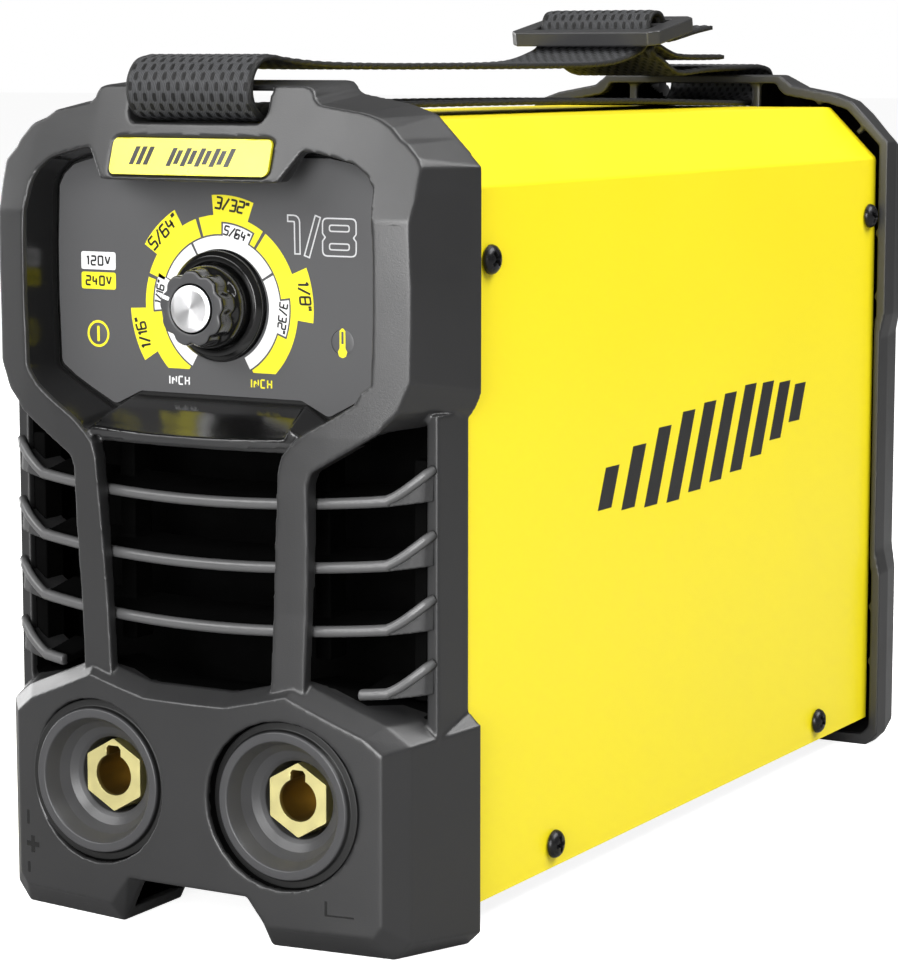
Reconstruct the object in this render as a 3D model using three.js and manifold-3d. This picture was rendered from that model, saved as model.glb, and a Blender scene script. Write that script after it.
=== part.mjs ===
// Compact inverter stick welder, 290 mm long, built as an assembly of separate pieces.
// Millimetres, +Z up, front panel facing -Y. Depths below are measured back from the
// front-most plane of the case; the outer group shifts them so that y = 0 is mid length.
import * as THREE from 'three';
import { mergeVertices } from 'three/addons/utils/BufferGeometryUtils.js';
import Module from 'manifold-3d';

const wasm = await Module();
wasm.setup();

// ---------------------------------------------------------------- dimensions
const LENGTH = 290;            // front plane to rear plane
const CASE_HALF_W = 57.47;     // sheet metal cover, half width
const CASE_BOTTOM = 8.0;       // lower edge of the cover above the ground
const CASE_SIDE_TOP = 170.0;   // where the 45 degree chamfer starts
const CASE_TOP = 184.2;        // top of the cover
const SHEET = 1.0;             // cover sheet thickness
const COVER_Y0 = 28.35;        // front edge of the cover
const COVER_Y1 = 264.8;        // rear edge of the cover, inside the rear moulding
const RIM_Y = 28;              // rear plane of the front moulding
const REAR_RIM_Y = 263.5;      // front plane of the rear moulding
const WALL = 2.8;              // moulding wall
const GAP = 0.3;               // clearance between touching pieces
const PANEL_Y = 17;            // front of the recessed control panel
const KNOB_Z = 142.8;          // dial centre height
const SOCKET_X = 25.3;         // output socket spacing, half
const SOCKET_Z = 33.3;         // output socket height
const SOCKET_BORE = 4.9;       // output socket bore radius
const WEB_T = 1.6;             // strap webbing thickness
const WEB_HALF = 16.6;         // strap webbing half width
const FAN_Z = 104;             // fan centre height
const FAN_R = 36;              // fan blade tip radius
const SWITCH = { x: -27, z: 37 };
const GLAND = { x: 27, z: 37 };

// ---------------------------------------------------------------- solids
function solid(geometry) {
  const g = geometry.clone();
  for (const k of Object.keys(g.attributes)) if (k !== 'position') g.deleteAttribute(k);
  const m = mergeVertices(g, 1e-4);
  return new wasm.Manifold(new wasm.Mesh({
    numProp: 3,
    vertProperties: new Float32Array(m.attributes.position.array),
    triVerts: new Uint32Array(m.index.array),
  }));
}
const join = (...s) => s.reduce((a, b) => a.add(b));
const cut = (a, ...s) => s.reduce((x, y) => x.subtract(y), a);
const meet = (a, b) => a.intersect(b);
function geometryOf(m) {
  const mesh = m.getMesh();
  const n = mesh.vertProperties.length / mesh.numProp;
  const pos = new Float32Array(n * 3);
  for (let i = 0; i < n; i++)
    for (let k = 0; k < 3; k++) pos[i * 3 + k] = mesh.vertProperties[i * mesh.numProp + k];
  const g = new THREE.BufferGeometry();
  g.setAttribute('position', new THREE.BufferAttribute(pos, 3));
  g.setIndex(new THREE.BufferAttribute(new Uint32Array(mesh.triVerts), 1));
  const flat = g.toNonIndexed();
  flat.computeVertexNormals();
  return flat;
}
const V2 = (p) => p.map(([a, b]) => new THREE.Vector2(a, b));
function shapeOf(points, holes = []) {
  const s = new THREE.Shape(V2(points));
  for (const h of holes) s.holes.push(new THREE.Path(V2(h)));
  return s;
}
function extruded(points, depth, holes) {
  return new THREE.ExtrudeGeometry(shapeOf(points, holes), { depth, bevelEnabled: false, steps: 1, curveSegments: 1 });
}
// outline in X,Z pushed along Y from y0 to y1
function prismY(points, y0, y1, holes) {
  const g = extruded(points, y1 - y0, holes);
  g.rotateX(Math.PI / 2);
  g.translate(0, y1, 0);
  return g;
}
// outline in X,Y pushed along Z
function prismZ(points, z0, z1, holes) {
  const g = extruded(points, z1 - z0, holes);
  g.translate(0, 0, z0);
  return g;
}
// outline in Y,Z pushed along X
function prismX(points, x0, x1, holes) {
  const g = extruded(points, x1 - x0, holes);
  g.applyMatrix4(new THREE.Matrix4().set(0, 0, 1, x0, 1, 0, 0, 0, 0, 1, 0, 0, 0, 0, 0, 1));
  return g;
}
function box(x0, x1, y0, y1, z0, z1) {
  const g = new THREE.BoxGeometry(x1 - x0, y1 - y0, z1 - z0);
  g.translate((x0 + x1) / 2, (y0 + y1) / 2, (z0 + z1) / 2);
  return g;
}
const circle = (cx, cz, r, n = 24, a0 = 0) =>
  Array.from({ length: n }, (_, i) => [cx + r * Math.cos(a0 + (2 * Math.PI * i) / n), cz + r * Math.sin(a0 + (2 * Math.PI * i) / n)]);
// closed profile [radius, y] turned about the Y line through (cx, cz)
function latheY(profile, cx, cz, n = 24) {
  let pts = profile.slice();
  let area = 0;
  for (let i = 0; i < pts.length; i++) {
    const [r0, y0] = pts[i], [r1, y1] = pts[(i + 1) % pts.length];
    area += r0 * y1 - r1 * y0;
  }
  if (area < 0) pts.reverse();
  const onAxis = pts.some(([r]) => r === 0);
  if (onAxis) {
    while (!(pts[0][0] === 0 && pts[pts.length - 1][0] === 0)) pts.push(pts.shift());
  } else pts.push(pts[0]);
  const g = new THREE.LatheGeometry(pts.map(([r, y]) => new THREE.Vector2(r, y)), n);
  g.translate(cx, 0, cz);
  return g;
}
// the same profile with X as its axis: [radius, x]
function latheX(profile, cy, cz, n = 10) {
  const g = latheY(profile, 0, 0, n);
  g.rotateZ(-Math.PI / 2);
  g.translate(0, cy, cz);
  return g;
}
function latheZ(profile, cx, cy, n = 16) {
  const g = latheY(profile, 0, 0, n);
  g.rotateX(Math.PI / 2);
  g.translate(cx, cy, 0);
  return g;
}
// stations: arrays of [x, y, z] rings with equal counts, counter-clockwise seen from -Y
function loft(stations) {
  const n = stations[0].length, pos = [], idx = [];
  stations.forEach((s) => s.forEach((p) => pos.push(...p)));
  for (let k = 0; k + 1 < stations.length; k++)
    for (let i = 0; i < n; i++) {
      const a = k * n + i, b = k * n + ((i + 1) % n), c = a + n, d = b + n;
      idx.push(a, c, b, b, c, d);
    }
  const cap = (k, flip) => {
    const ring = stations[k];
    const tri = THREE.ShapeUtils.triangulateShape(V2(ring.map((p) => [p[0], p[2]])), []);
    for (const [a, b, c] of tri) flip ? idx.push(k * n + a, k * n + b, k * n + c) : idx.push(k * n + c, k * n + b, k * n + a);
  };
  cap(0, true);
  cap(stations.length - 1, false);
  const g = new THREE.BufferGeometry();
  g.setAttribute('position', new THREE.Float32BufferAttribute(pos, 3));
  g.setIndex(idx);
  return g;
}
// half outline listed from the bottom centre outwards and up, mirrored to a full ring
function ring(half) {
  const left = half.filter(([x]) => x !== 0).map(([x, z]) => [-x, z]).reverse();
  return [...half, ...left];
}
const at = (points, y) => points.map(([x, z]) => [x, typeof y === 'function' ? y(x, z) : y, z]);
// block of space behind the surface y = f(x, z), as a grid
function behind(f, xs, zs, yBack) {
  const nx = xs.length, nz = zs.length, pos = [], idx = [];
  for (const z of zs) for (const x of xs) pos.push(x, f(x, z), z);
  for (const z of zs) for (const x of xs) pos.push(x, yBack, z);
  const q = (a, b, c, d) => idx.push(a, b, c, a, c, d);
  const o = nx * nz, v = (i, k) => k * nx + i;
  for (let k = 0; k + 1 < nz; k++)
    for (let i = 0; i + 1 < nx; i++) {
      q(v(i, k), v(i + 1, k), v(i + 1, k + 1), v(i, k + 1));
      q(o + v(i, k), o + v(i, k + 1), o + v(i + 1, k + 1), o + v(i + 1, k));
    }
  for (let i = 0; i + 1 < nx; i++) {
    q(v(i, 0), o + v(i, 0), o + v(i + 1, 0), v(i + 1, 0));
    q(v(i, nz - 1), v(i + 1, nz - 1), o + v(i + 1, nz - 1), o + v(i, nz - 1));
  }
  for (let k = 0; k + 1 < nz; k++) {
    q(v(0, k), v(0, k + 1), o + v(0, k + 1), o + v(0, k));
    q(v(nx - 1, k), o + v(nx - 1, k), o + v(nx - 1, k + 1), v(nx - 1, k + 1));
  }
  const g = new THREE.BufferGeometry();
  g.setAttribute('position', new THREE.Float32BufferAttribute(pos, 3));
  g.setIndex(idx);
  return g;
}
function span(a, b, n) { return Array.from({ length: n + 1 }, (_, i) => a + ((b - a) * i) / n); }
// strip of constant thickness along a smooth path in Y,Z, with points only where it bends
function ribbon(path, t, x0, x1, tolerance) {
  const curve = new THREE.CatmullRomCurve3(path.map(([y, z]) => new THREE.Vector3(0, y, z)), false, 'centripetal');
  const dense = curve.getPoints(path.length * 14).map((p) => [p.y, p.z]);
  const keep = new Set([0, dense.length - 1]);
  const thin = (i, j) => {
    const [ay, az] = dense[i], [by, bz] = dense[j], l = Math.hypot(by - ay, bz - az) || 1;
    let worst = tolerance, k = -1;
    for (let m = i + 1; m < j; m++) {
      const d = Math.abs((dense[m][0] - ay) * (bz - az) - (dense[m][1] - az) * (by - ay)) / l;
      if (d > worst) { worst = d; k = m; }
    }
    if (k > 0) { keep.add(k); thin(i, k); thin(k, j); }
  };
  thin(0, dense.length - 1);
  const up = [], dn = [];
  for (const i of [...keep].sort((a, b) => a - b)) {
    const a = dense[Math.max(0, i - 1)], b = dense[Math.min(dense.length - 1, i + 1)];
    const l = Math.hypot(b[0] - a[0], b[1] - a[1]), ny = -(b[1] - a[1]) / l, nz = (b[0] - a[0]) / l;
    up.push([dense[i][0] + (ny * t) / 2, dense[i][1] + (nz * t) / 2]);
    dn.push([dense[i][0] - (ny * t) / 2, dense[i][1] - (nz * t) / 2]);
  }
  return prismX([...up, ...dn.reverse()], x0, x1);
}

// ---------------------------------------------------------------- finishes
const MAT = {
  case: ['#4a4a4b', 0.55, 0], slat: ['#5d5d5e', 0.5, 0], panel: ['#3f3f41', 0.45, 0], label: ['#5e5e60', 0.5, 0],
  yellow: ['#ffe832', 0.35, 0], gloss: ['#0c0c0d', 0.12, 0], knob: ['#38383a', 0.45, 0], silver: ['#d9dadc', 0.25, 1],
  white: ['#f4f4f4', 0.4, 0], brass: ['#c8a646', 0.3, 1], socket: ['#333334', 0.5, 0], screw: ['#101011', 0.3, 0.6],
  web: ['#1b1b1c', 0.95, 0], steel: ['#9a9b9d', 0.4, 1], zinc: ['#b4b5b8', 0.35, 1], fan: ['#151516', 0.4, 0],
  rocker: ['#b01818', 0.3, 0], board: ['#1d5a34', 0.5, 0], alu: ['#c3c5c8', 0.4, 1], ferrite: ['#2b2c2e', 0.8, 0],
  copper: ['#b56a36', 0.35, 1], cap: ['#1b2a4a', 0.4, 0], chip: ['#1c1c1e', 0.5, 0], nylon: ['#222223', 0.6, 0],
  lens: ['#e8d21e', 0.2, 0], plate: ['#c9cacc', 0.5, 1], nickel: ['#c6c8ca', 0.3, 1],
};
const group = new THREE.Group();
const build = new THREE.Group();
build.position.y = -LENGTH / 2;
group.add(build);
function add(name, shape, mat) {
  const [color, roughness, metalness] = MAT[mat];
  const geometry = shape.isBufferGeometry ? shape : geometryOf(shape);
  const mesh = new THREE.Mesh(geometry, new THREE.MeshStandardMaterial({ color, roughness, metalness }));
  mesh.name = name;
  build.add(mesh);
  return mesh;
}

// ---------------------------------------------------------------- front moulding
const XS = span(-65, 65, 14);
const frontY = (x, z) => (x * x) / 400 + (z > 163.5 ? 0.32 * (z - 163.5) : 0) + (z < 116.5 ? Math.min(0.04 * (116.5 - z), 1.6) : 0);
const shift = (d) => (x, z) => frontY(x, z) + d;
const ZS = [-10, 76.5, 116.5, 163.5, 215];
const bowed = (d) => (x) => (x * x) / 400 + d;
const blockY = (x) => (x * x) / 600;

// outer flare of the upper part: front outline and rim outline, half, bottom to top
const UP_F = [[48.2, 117.5], [52.5, 122.2], [55.1, 128.7], [55.35, 150], [55, 168], [54.4, 174.8], [50.8, 179.6], [47, 182.7], [40.6, 185.9], [30, 187.8]];
const UP_R = [[57.6, 118.8], [59.9, 121.6], [61.5, 125.4], [61.55, 150], [61.55, 170], [61.45, 174.6], [55.6, 180.7], [50.4, 185.9], [44, 188.1], [31.7, 190.3]];
function flare(F, R, yF, yFront, yRim) {
  const k = (y) => (y - yF) / (RIM_Y - yF);
  const st = (y) => F.map(([x, z], i) => [x + (R[i][0] - x) * k(y), z + (R[i][1] - z) * k(y)]);
  return [at(ring(st(yFront)), yFront), at(ring(st(yRim)), yRim)];
}
const upperOuter = meet(solid(loft(flare(UP_F, UP_R, 7.6, -6, RIM_Y))), solid(behind(frontY, XS, ZS, 40)));
const upF2 = UP_F.map(([x, z], i) => [x - 2.6, z + (i < 3 ? 2.6 : i < 5 ? 0 : -2.2)]);
const upR2 = UP_R.map(([x, z], i) => [x - 2.8, z + (i < 3 ? 2.6 : i < 5 ? 0 : -2.6)]);
const upperHollow = meet(solid(loft(flare(upF2, upR2, 7.6, 0, 25.5))), solid(behind(shift(3.4), XS, ZS, 25.5)));

// control recess, tapering back to the panel
const POCKET_F = [[25.5, 115.7], [29.5, 116.2], [37.6, 120.5], [42.5, 123.4], [46.4, 127.9], [47, 143], [47, 156], [46.2, 170.7], [44.5, 173.5], [41, 176], [35.3, 177.4], [30, 178.4]];
const POCKET_B = [[22.8, 121.6], [29, 118.2], [36.5, 122.3], [40.5, 124.6], [44.6, 127.5], [45.1, 143], [45.1, 156], [44.5, 169.3], [43, 172], [40, 174.4], [34.8, 175.8], [29.6, 176.8]];
function pocket(grow, y0, y1) {
  const st = (y) => POCKET_F.map(([x, z], i) => {
    const k = (y - 4) / (PANEL_Y - 0.3 - 4), [bx, bz] = POCKET_B[i];
    const up = i > 6 ? 1 : i < 5 ? -1 : 0;
    return [x + (bx - x) * k + (i === 0 ? 0 : grow), z + (bz - z) * k + up * grow];
  });
  return solid(loft([at(ring(st(y0)), y0), at(ring(st(y1)), y1)]));
}
const pocketOuter = meet(pocket(2.2, -2, PANEL_Y - GAP), solid(behind(shift(1.2), XS, ZS, 30)));
const pocketInner = pocket(0, -8, PANEL_Y + 1);

// the two diagonal and upright struts
const STRUT = [[29.7, 49], [29.9, 60], [30.6, 74], [31.3, 90], [31.5, 105.5], [32.5, 108.2], [35, 109.7], [45, 115.6], [48.2, 117.6], [50.5, 121], [50.5, 129], [46.4, 127.9], [42.5, 123.4], [37.6, 120.5], [31.5, 117.2], [28, 114.4], [25.5, 111.8], [24.5, 108.5], [23.9, 100], [23.3, 91], [22.3, 74], [21.5, 58.9], [21.2, 49]];
const strutBack = solid(behind(bowed(4.7), XS, [-10, 215], 40));
const frontSpace = solid(behind(frontY, XS, ZS, 40));
const strut = (pts) => cut(meet(solid(prismY(pts, -6, 14)), frontSpace), strutBack);
const mirrorX = (pts) => pts.map(([x, z]) => [-x, z]).reverse();

// ledge bar under the recess
const ledge = solid(loft([
  at(ring([[26.2, 111.6], [27.4, 113.4], [26.6, 115.7]]), 2), at(ring([[26.2, 111.6], [27.4, 113.4], [26.6, 115.7]]), 4),
  at(ring([[24.5, 112.6], [25, 115], [24.6, 119.2]]), 11), at(ring([[24.5, 115.6], [25, 117], [23.6, 121.4]]), PANEL_Y - GAP),
]));
const ledgeBar = meet(ledge, solid(behind((x) => 4 + (x * x) / 500, XS, [-10, 215], 40)));

// tab that carries the badge, and the carrying strap bracket above it
const TAB = ring([[22, 171.1], [23.7, 171.3], [28.6, 178.3], [31, 181]]);
const tab = cut(meet(solid(prismY(TAB, -6, 30)), frontSpace), solid(behind(shift(5), XS, ZS, 40)));
const BRACKET_F = [[31.4, 178.2], [31.2, 187.4], [29.3, 189.2], [29, 190.4], [28.2, 191.4], [26.3, 192]];
const BRACKET_R = [[31.8, 178.2], [31.7, 190.3], [30.3, 191.2], [29.7, 192.2], [28.9, 193], [27.6, 193.3]];
const bracket = meet(solid(loft([at(ring(BRACKET_F), 0), at(ring(BRACKET_F), 9), at(ring(BRACKET_R), RIM_Y)])), frontSpace);
const slot = solid(prismY(ring([[16.6, 183.9], [17.6, 184.4], [18.5, 186.4], [18.5, 190.9]]), -6, 60));
const slotMouth = solid(loft([
  at(ring([[16.4, 183.8], [16.8, 184.2], [20.4, 196]]), -4), at(ring([[16.4, 183.8], [16.8, 184.2], [20.4, 196]]), 9.4),
  at(ring([[16.9, 184], [17.6, 185], [18.4, 196]]), 11.4)]));

// socket block
const BLOCK_A = [[16.3, 11.8], [21.3, 5.2], [47.3, 5.5], [49.5, 8.4], [49.6, 46.8], [45.2, 50.3], [26.5, 58], [10.85, 54.2]];
const BLOCK_B = [[15.2, 10.4], [20.4, 0], [50.2, 0], [54.1, 4.2], [54.3, 48.5], [48.6, 52.7], [27.4, 61.4], [11.2, 57.4]];
const BLOCK_C = [[15.2, 10.4], [20.4, 0], [58.2, 0], [61.45, 3.2], [61.45, 50.6], [57.9, 53.6], [27.4, 59], [11.2, 55]];
const blockOuter = meet(solid(loft([
  at(ring(BLOCK_A), -6), at(ring(BLOCK_A), (x) => blockY(x)), at(ring(BLOCK_B), (x) => blockY(x) + 4.3), at(ring(BLOCK_C), RIM_Y)])),
solid(behind(blockY, XS, [-10, 90], 40)));
const IN_B = [[13, 13.4], [18, 3.2], [46.8, 3.2], [50.2, 6.4], [50.6, 46], [46.4, 49.2], [27, 57.2], [11, 53.4]];
const IN_C = [[13, 13.4], [18, 3.2], [55.6, 3.2], [58.2, 5.8], [58.2, 46.8], [55.2, 49.8], [27, 55], [11, 51.4]];
const blockHollow = meet(solid(loft([at(ring(IN_B), 6.6), at(ring(IN_C), 25.5)])), solid(behind((x) => blockY(x) + 6.6, XS, [-10, 90], 30)));

// upright posts beside the louvres
const post = (s) => solid(prismZ(s > 0 ? [[54.1, 16], [57.1, 16], [57.9, 25.5], [58.2, RIM_Y], [54.1, RIM_Y]] : [[-54.1, 16], [-54.1, RIM_Y], [-58.2, RIM_Y], [-57.9, 25.5], [-57.1, 16]], 48.5, 121));

// ring that the cover slides over, and the open back
const COVER_IN = [[CASE_HALF_W - SHEET, CASE_BOTTOM], [CASE_HALF_W - SHEET, CASE_SIDE_TOP - 0.4], [CASE_HALF_W - SHEET - 13.8, CASE_TOP - SHEET]];
const SPIGOT_O = [[56.1, 11], [56.1, 169.3], [42.6, 182.8]];
const SPIGOT_I = [[54.3, 12.8], [54.3, 168.5], [41.9, 181]];
const rimPlate = solid(prismY(ring([[15.2, 10.4], [19.4, 4], [57.8, 4], [57.8, 170.2], [43.6, 184.4]]), 25.2, RIM_Y));
const spigot = solid(prismY(ring(SPIGOT_O), 24, 34));
const backOpening = solid(prismY(ring(SPIGOT_I), 23.4, 60));
const sideTab = (s) => solid(box(s > 0 ? 53.2 : -56.1, s > 0 ? 56.1 : -53.2, 27, 46, 147.5, 160.1));

const PANEL_OUT = ring([[26, 117.2], [47, 121.6], [48.4, 128], [48.4, 171], [44, 176.4], [31, 177.6]]);
let front = join(
  cut(upperOuter, upperHollow), pocketOuter,
  join(cut(blockOuter, blockHollow), post(1), post(-1), rimPlate, spigot),
);
front = cut(front, backOpening, solid(prismY(PANEL_OUT.map(([x, z]) => [x + Math.sign(x) * 0.4, z + (z > 150 ? 0.4 : -0.4)]), PANEL_Y - GAP, 26)));
front = join(front, sideTab(1), sideTab(-1), tab, bracket);
front = cut(front, pocketInner);
front = join(front, cut(tab, solid(box(-60, 60, 9.6, 40, 160, 200))), ledgeBar, strut(STRUT), strut(mirrorX(STRUT)));
// badge seat in the leaning face
const BADGE = (g) => ring([[20 + g, 172.3 - g], [21.3 + g, 173.6 - g], [21.3 + g, 179.3 + g], [20 + g, 180.6 + g]]);
front = cut(front, slot, slotMouth,
  cut(meet(solid(prismY(BADGE(0.3), -6, 30)), solid(behind(shift(-2), XS, ZS, 40))), solid(behind(shift(0.9), XS, ZS, 41))),
  ...[-1, 1].flatMap((s) => [
    solid(prismY(circle(s * SOCKET_X, SOCKET_Z, 19.2, 28), -6, 3.7)),
    solid(prismY(circle(s * SOCKET_X, SOCKET_Z, 14.4, 20), 0, 22)),
    solid(latheX([[0, 50], [2.0, 50], [2.0, 62], [0, 62]].map(([r, x]) => [r, s * x]), 38, 153.8, 10)),
  ]));
// moulded polarity marks
const marks = [box(-45.9, -44.9, 0, 3.1, 13.6, 17.2), box(-47.2, -43.6, 0, 3.1, 14.9, 15.9), box(36, 43, 0, 2.2, 9.6, 10.4)].map(solid);
front = cut(front, ...marks.map((m) => m.translate(0, 0, 0)));
add('front_bezel', front, 'case');

// ---------------------------------------------------------------- louvre insert
const smile = (x) => 3.4 * (x / 57) ** 2;
function louvre(zc) {
  const front = span(-52, 52, 10).map((x) => [x, (x * x) / 400 + 5.05]);
  const plan = [...front, [54.6, 12.7], [56.6, 15.6], [53.7, 15.7], [53.7, 24], [30, 24], [0, 24], [-30, 24], [-53.7, 24], [-53.7, 15.7], [-56.6, 15.6], [-54.6, 12.7]];
  const g = prismZ(plan, -1.25, 1.25);
  const p = g.attributes.position;
  for (let i = 0; i < p.count; i++) {
    const x = p.getX(i), y = p.getY(i);
    p.setZ(i, p.getZ(i) + zc + smile(x) + 0.1 * (y - 5));
  }
  const wing = (s) => {
    const z0 = zc + 3.2, w = prismY(s > 0 ? [[46.5, z0], [56.2, z0 - 1], [56.2, z0 + 6.4], [52.2, z0 + 2.4]] : [[-46.5, z0], [-52.2, z0 + 2.4], [-56.2, z0 + 6.4], [-56.2, z0 - 1]], 8, 23.5);
    const clip = prismZ(s > 0 ? [[46, 10.6], [51.5, 11.8], [56.6, 15.7], [53.7, 15.7], [53.7, 24], [46, 24]] : [[-46, 10.6], [-46, 24], [-53.7, 24], [-53.7, 15.7], [-56.6, 15.7], [-51.5, 11.8]], zc - 5, zc + 14);
    return meet(solid(w), solid(clip));
  };
  return join(solid(g), wing(1), wing(-1));
}
const louvres = [0, 1, 2, 3].map((k) => louvre(99.75 - 14.3 * k));
louvres[3] = cut(louvres[3], solid(box(-40.2, 40.2, 0, 30, 40, 70)));
const riser = (x, w, z) => solid(box(x - w, x + w, 17, 23.9, z, 111));
add('louvre_grille', join(...louvres, riser(-26.6, 2, 64), riser(26.6, 2, 64), riser(-52, 1.6, 57), riser(52, 1.6, 57)), 'slat');

// ---------------------------------------------------------------- control panel
add('control_panel', cut(solid(prismY(PANEL_OUT, PANEL_Y, PANEL_Y + 2.2)),
  solid(prismY(circle(0, KNOB_Z, 5.2, 20), 0, 30)), solid(prismY(circle(-33.6, 135, 2.3, 12), 0, 30)), solid(prismY(circle(32.6, 135.9, 2.3, 12), 0, 30))), 'panel');
const LABEL = ring([[21.8, 122.4], [28.9, 119], [36.2, 122.8], [40.2, 125.1], [44.1, 128], [44.6, 143], [44.6, 156], [44, 169], [42.6, 171.6], [39.8, 173.9], [34.6, 175.3], [29.4, 176.2]]);
add('control_label', prismY(LABEL, PANEL_Y - 0.65, PANEL_Y - GAP + 0.05,
  [circle(0, KNOB_Z, 12.8, 24), circle(-33.6, 135, 2.9, 12), circle(32.6, 135.9, 2.9, 12)]), 'label');
add('badge_plate', cut(meet(solid(prismY(BADGE(0), -6, 30)), solid(behind(shift(-0.25), XS, ZS, 40))), solid(behind(shift(0.6), XS, ZS, 41))), 'yellow');
for (const [name, x, z] of [['power_lamp_lens', -33.6, 135], ['thermal_lamp_lens', 32.6, 135.9]])
  add(name, latheY([[0, 16.2], [2.0, 16.35], [2.6, 16.5], [2.6, 16.72], [2.0, 16.8], [2.0, 21], [0, 21]], x, z, 12), 'lens');
add('dial_collar', latheY([[9.9, 13.9], [11.4, 14], [12.4, 14.8], [12.45, 16.7], [9.9, 16.7]], 0, KNOB_Z, 32), 'gloss');

// dial: skirted knob with a scalloped grip, turned cap and pointer line
const REST_POINTER = (71 * Math.PI) / 180; // pointer at rest, counter-clockwise of straight up
const grip = [];
for (let i = 0; i < 48; i++) {
  const a = (2 * Math.PI * i) / 48;
  const r = 8.55 - 0.75 * Math.pow(0.5 + 0.5 * Math.cos(9 * a), 2.2);
  grip.push([r * Math.sin(a + REST_POINTER * 0), r * Math.cos(a)]);
}
const gripFace = grip.map(([x, z]) => [x, z + KNOB_Z]).reverse();
let knob = join(solid(prismY(gripFace, 4.9, 10.2)), solid(latheY([[0, 9.4], [8.2, 9.4], [9.3, 11], [9.5, 14.9], [0, 14.9]], 0, KNOB_Z, 28)));
knob = cut(knob, solid(prismY(circle(0, KNOB_Z, 5.75, 24), 3, 5.7)), solid(prismY(circle(0, KNOB_Z, 3.3, 16), 7, 20)));
const pointerOutline = (w, r0, r1) => {
  const c = Math.cos(REST_POINTER), s = Math.sin(REST_POINTER);
  return [[-w, r0], [w, r0], [w, r1], [-w, r1]].map(([u, v]) => [u * c - v * s, KNOB_Z + u * s + v * c]);
};
knob = cut(knob, solid(prismY(pointerOutline(0.8, 5.9, 11), 3, 5.5)), solid(prismY(pointerOutline(1.1, 7.6, 11), 3, 12)));
add('knob', knob, 'knob');
add('knob_cap', latheY([[0, 4.55], [4.6, 4.6], [5.3, 4.95], [5.35, 5.4], [0, 5.4]], 0, KNOB_Z, 28), 'silver');
add('knob_pointer', prismY(pointerOutline(0.5, 6.2, 8.0), 4.75, 5.2), 'white');
add('potentiometer_shaft', latheY([[0, 7.3], [3, 7.3], [3, 29.4], [0, 29.4]], 0, KNOB_Z, 16), 'zinc');
add('potentiometer_bush', solid(latheY([[3.35, 16.4], [4.8, 16.4], [4.8, 25.3], [3.35, 25.3]], 0, KNOB_Z, 16)), 'brass');
add('potentiometer_nut', prismY(circle(0, KNOB_Z, 7, 6), 19.5, 21.9, [circle(0, KNOB_Z, 5.1, 16)]), 'zinc');
add('potentiometer_body', cut(solid(latheY([[0, 25.6], [8.4, 25.6], [8.4, 36], [0, 36]], 0, KNOB_Z, 20)), solid(prismY(circle(0, KNOB_Z, 3.35, 16), 24, 29.8))), 'steel');
add('control_board', cut(solid(box(-42, 42, 37, 38.6, 122, 168)), solid(box(-15, 15, 36, 40, 128, 136))), 'board');

// ---------------------------------------------------------------- output sockets
for (const [side, s] of [['left', -1], ['right', 1]]) {
  const x = s * SOCKET_X;
  add(`socket_shell_${side}`, latheY([[8.95, 8.6], [12.4, 5.8], [15.3, 1.15], [17.3, 1.15], [18.85, 2.7], [18.85, 3.4], [13.9, 3.4], [13.9, 24], [8.95, 24]], x, SOCKET_Z, 20), 'socket');
  const hex = circle(x, SOCKET_Z, 8.6, 6, Math.PI / 2);
  const key = [circle(x, SOCKET_Z, SOCKET_BORE, 18), circle(x, SOCKET_Z + 4.9, 2.3, 8)].map((c) => solid(prismY(c, 0, 23.5)));
  add(`socket_contact_${side}`, cut(join(solid(prismY(hex, 8.2, 26)), solid(latheY([[0, 25], [4, 25], [4, 41], [0, 41]], x, SOCKET_Z, 16))), ...key), 'brass');
  add(`socket_busbar_${side}`, cut(join(solid(box(x - 9, x + 9, 26.4, 28.2, 24, 46)), solid(box(x - 9, x + 9, 26.4, 64, 44.2, 46))), solid(prismY(circle(x, SOCKET_Z, 4.3, 16), 20, 40))), 'copper');
  add(`socket_nut_${side}`, prismY(circle(x, SOCKET_Z, 7.4, 6), 28.6, 34.6, [circle(x, SOCKET_Z, 4.3, 16)]), 'zinc');
}

// ---------------------------------------------------------------- sheet metal
const coverOut = [[CASE_HALF_W, CASE_BOTTOM], [CASE_HALF_W, CASE_SIDE_TOP], [CASE_HALF_W - 14.2, CASE_TOP]];
const SCREWS = [[38, 153.8], [259.5, 153.8], [69.7, 13.8], [227.8, 13.8]];
const screwHoles = (r) => SCREWS.flatMap(([y, z]) => [-1, 1].map((s) => solid(latheX([[0, 50], [r, 50], [r, 62], [0, 62]].map(([a, x]) => [a, s * x]), y, z, 12))));
add('cover', cut(solid(prismY([...coverOut, ...mirrorX(coverOut), ...mirrorX(COVER_IN).reverse(), ...COVER_IN.slice().reverse()], COVER_Y0, COVER_Y1)), ...screwHoles(2.2)), 'yellow');
const panHalf = [[56.1, 8.3], [56.1, 23], [54.9, 23], [54.9, 9.5]];
add('base_pan', cut(solid(prismY([...panHalf, ...panHalf.slice().reverse().map(([x, z]) => [-x, z])].map((p) => p), 35, 261)), ...screwHoles(2.0)), 'zinc');
const screw = (s, y, z) => solid(latheX([[0, 59.9], [2.2, 59.5], [3.35, 58.3], [3.35, 57.77], [1.7, 57.77], [1.7, 51]].map(([r, x]) => [r, s * x]).concat([[0, s * 51]]), y, z, 10));
SCREWS.forEach(([y, z], i) => {
  for (const [side, s] of [['left', -1], ['right', 1]]) add(`cover_screw_${side}_${i + 1}`, screw(s, y, z), 'screw');
});

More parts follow.
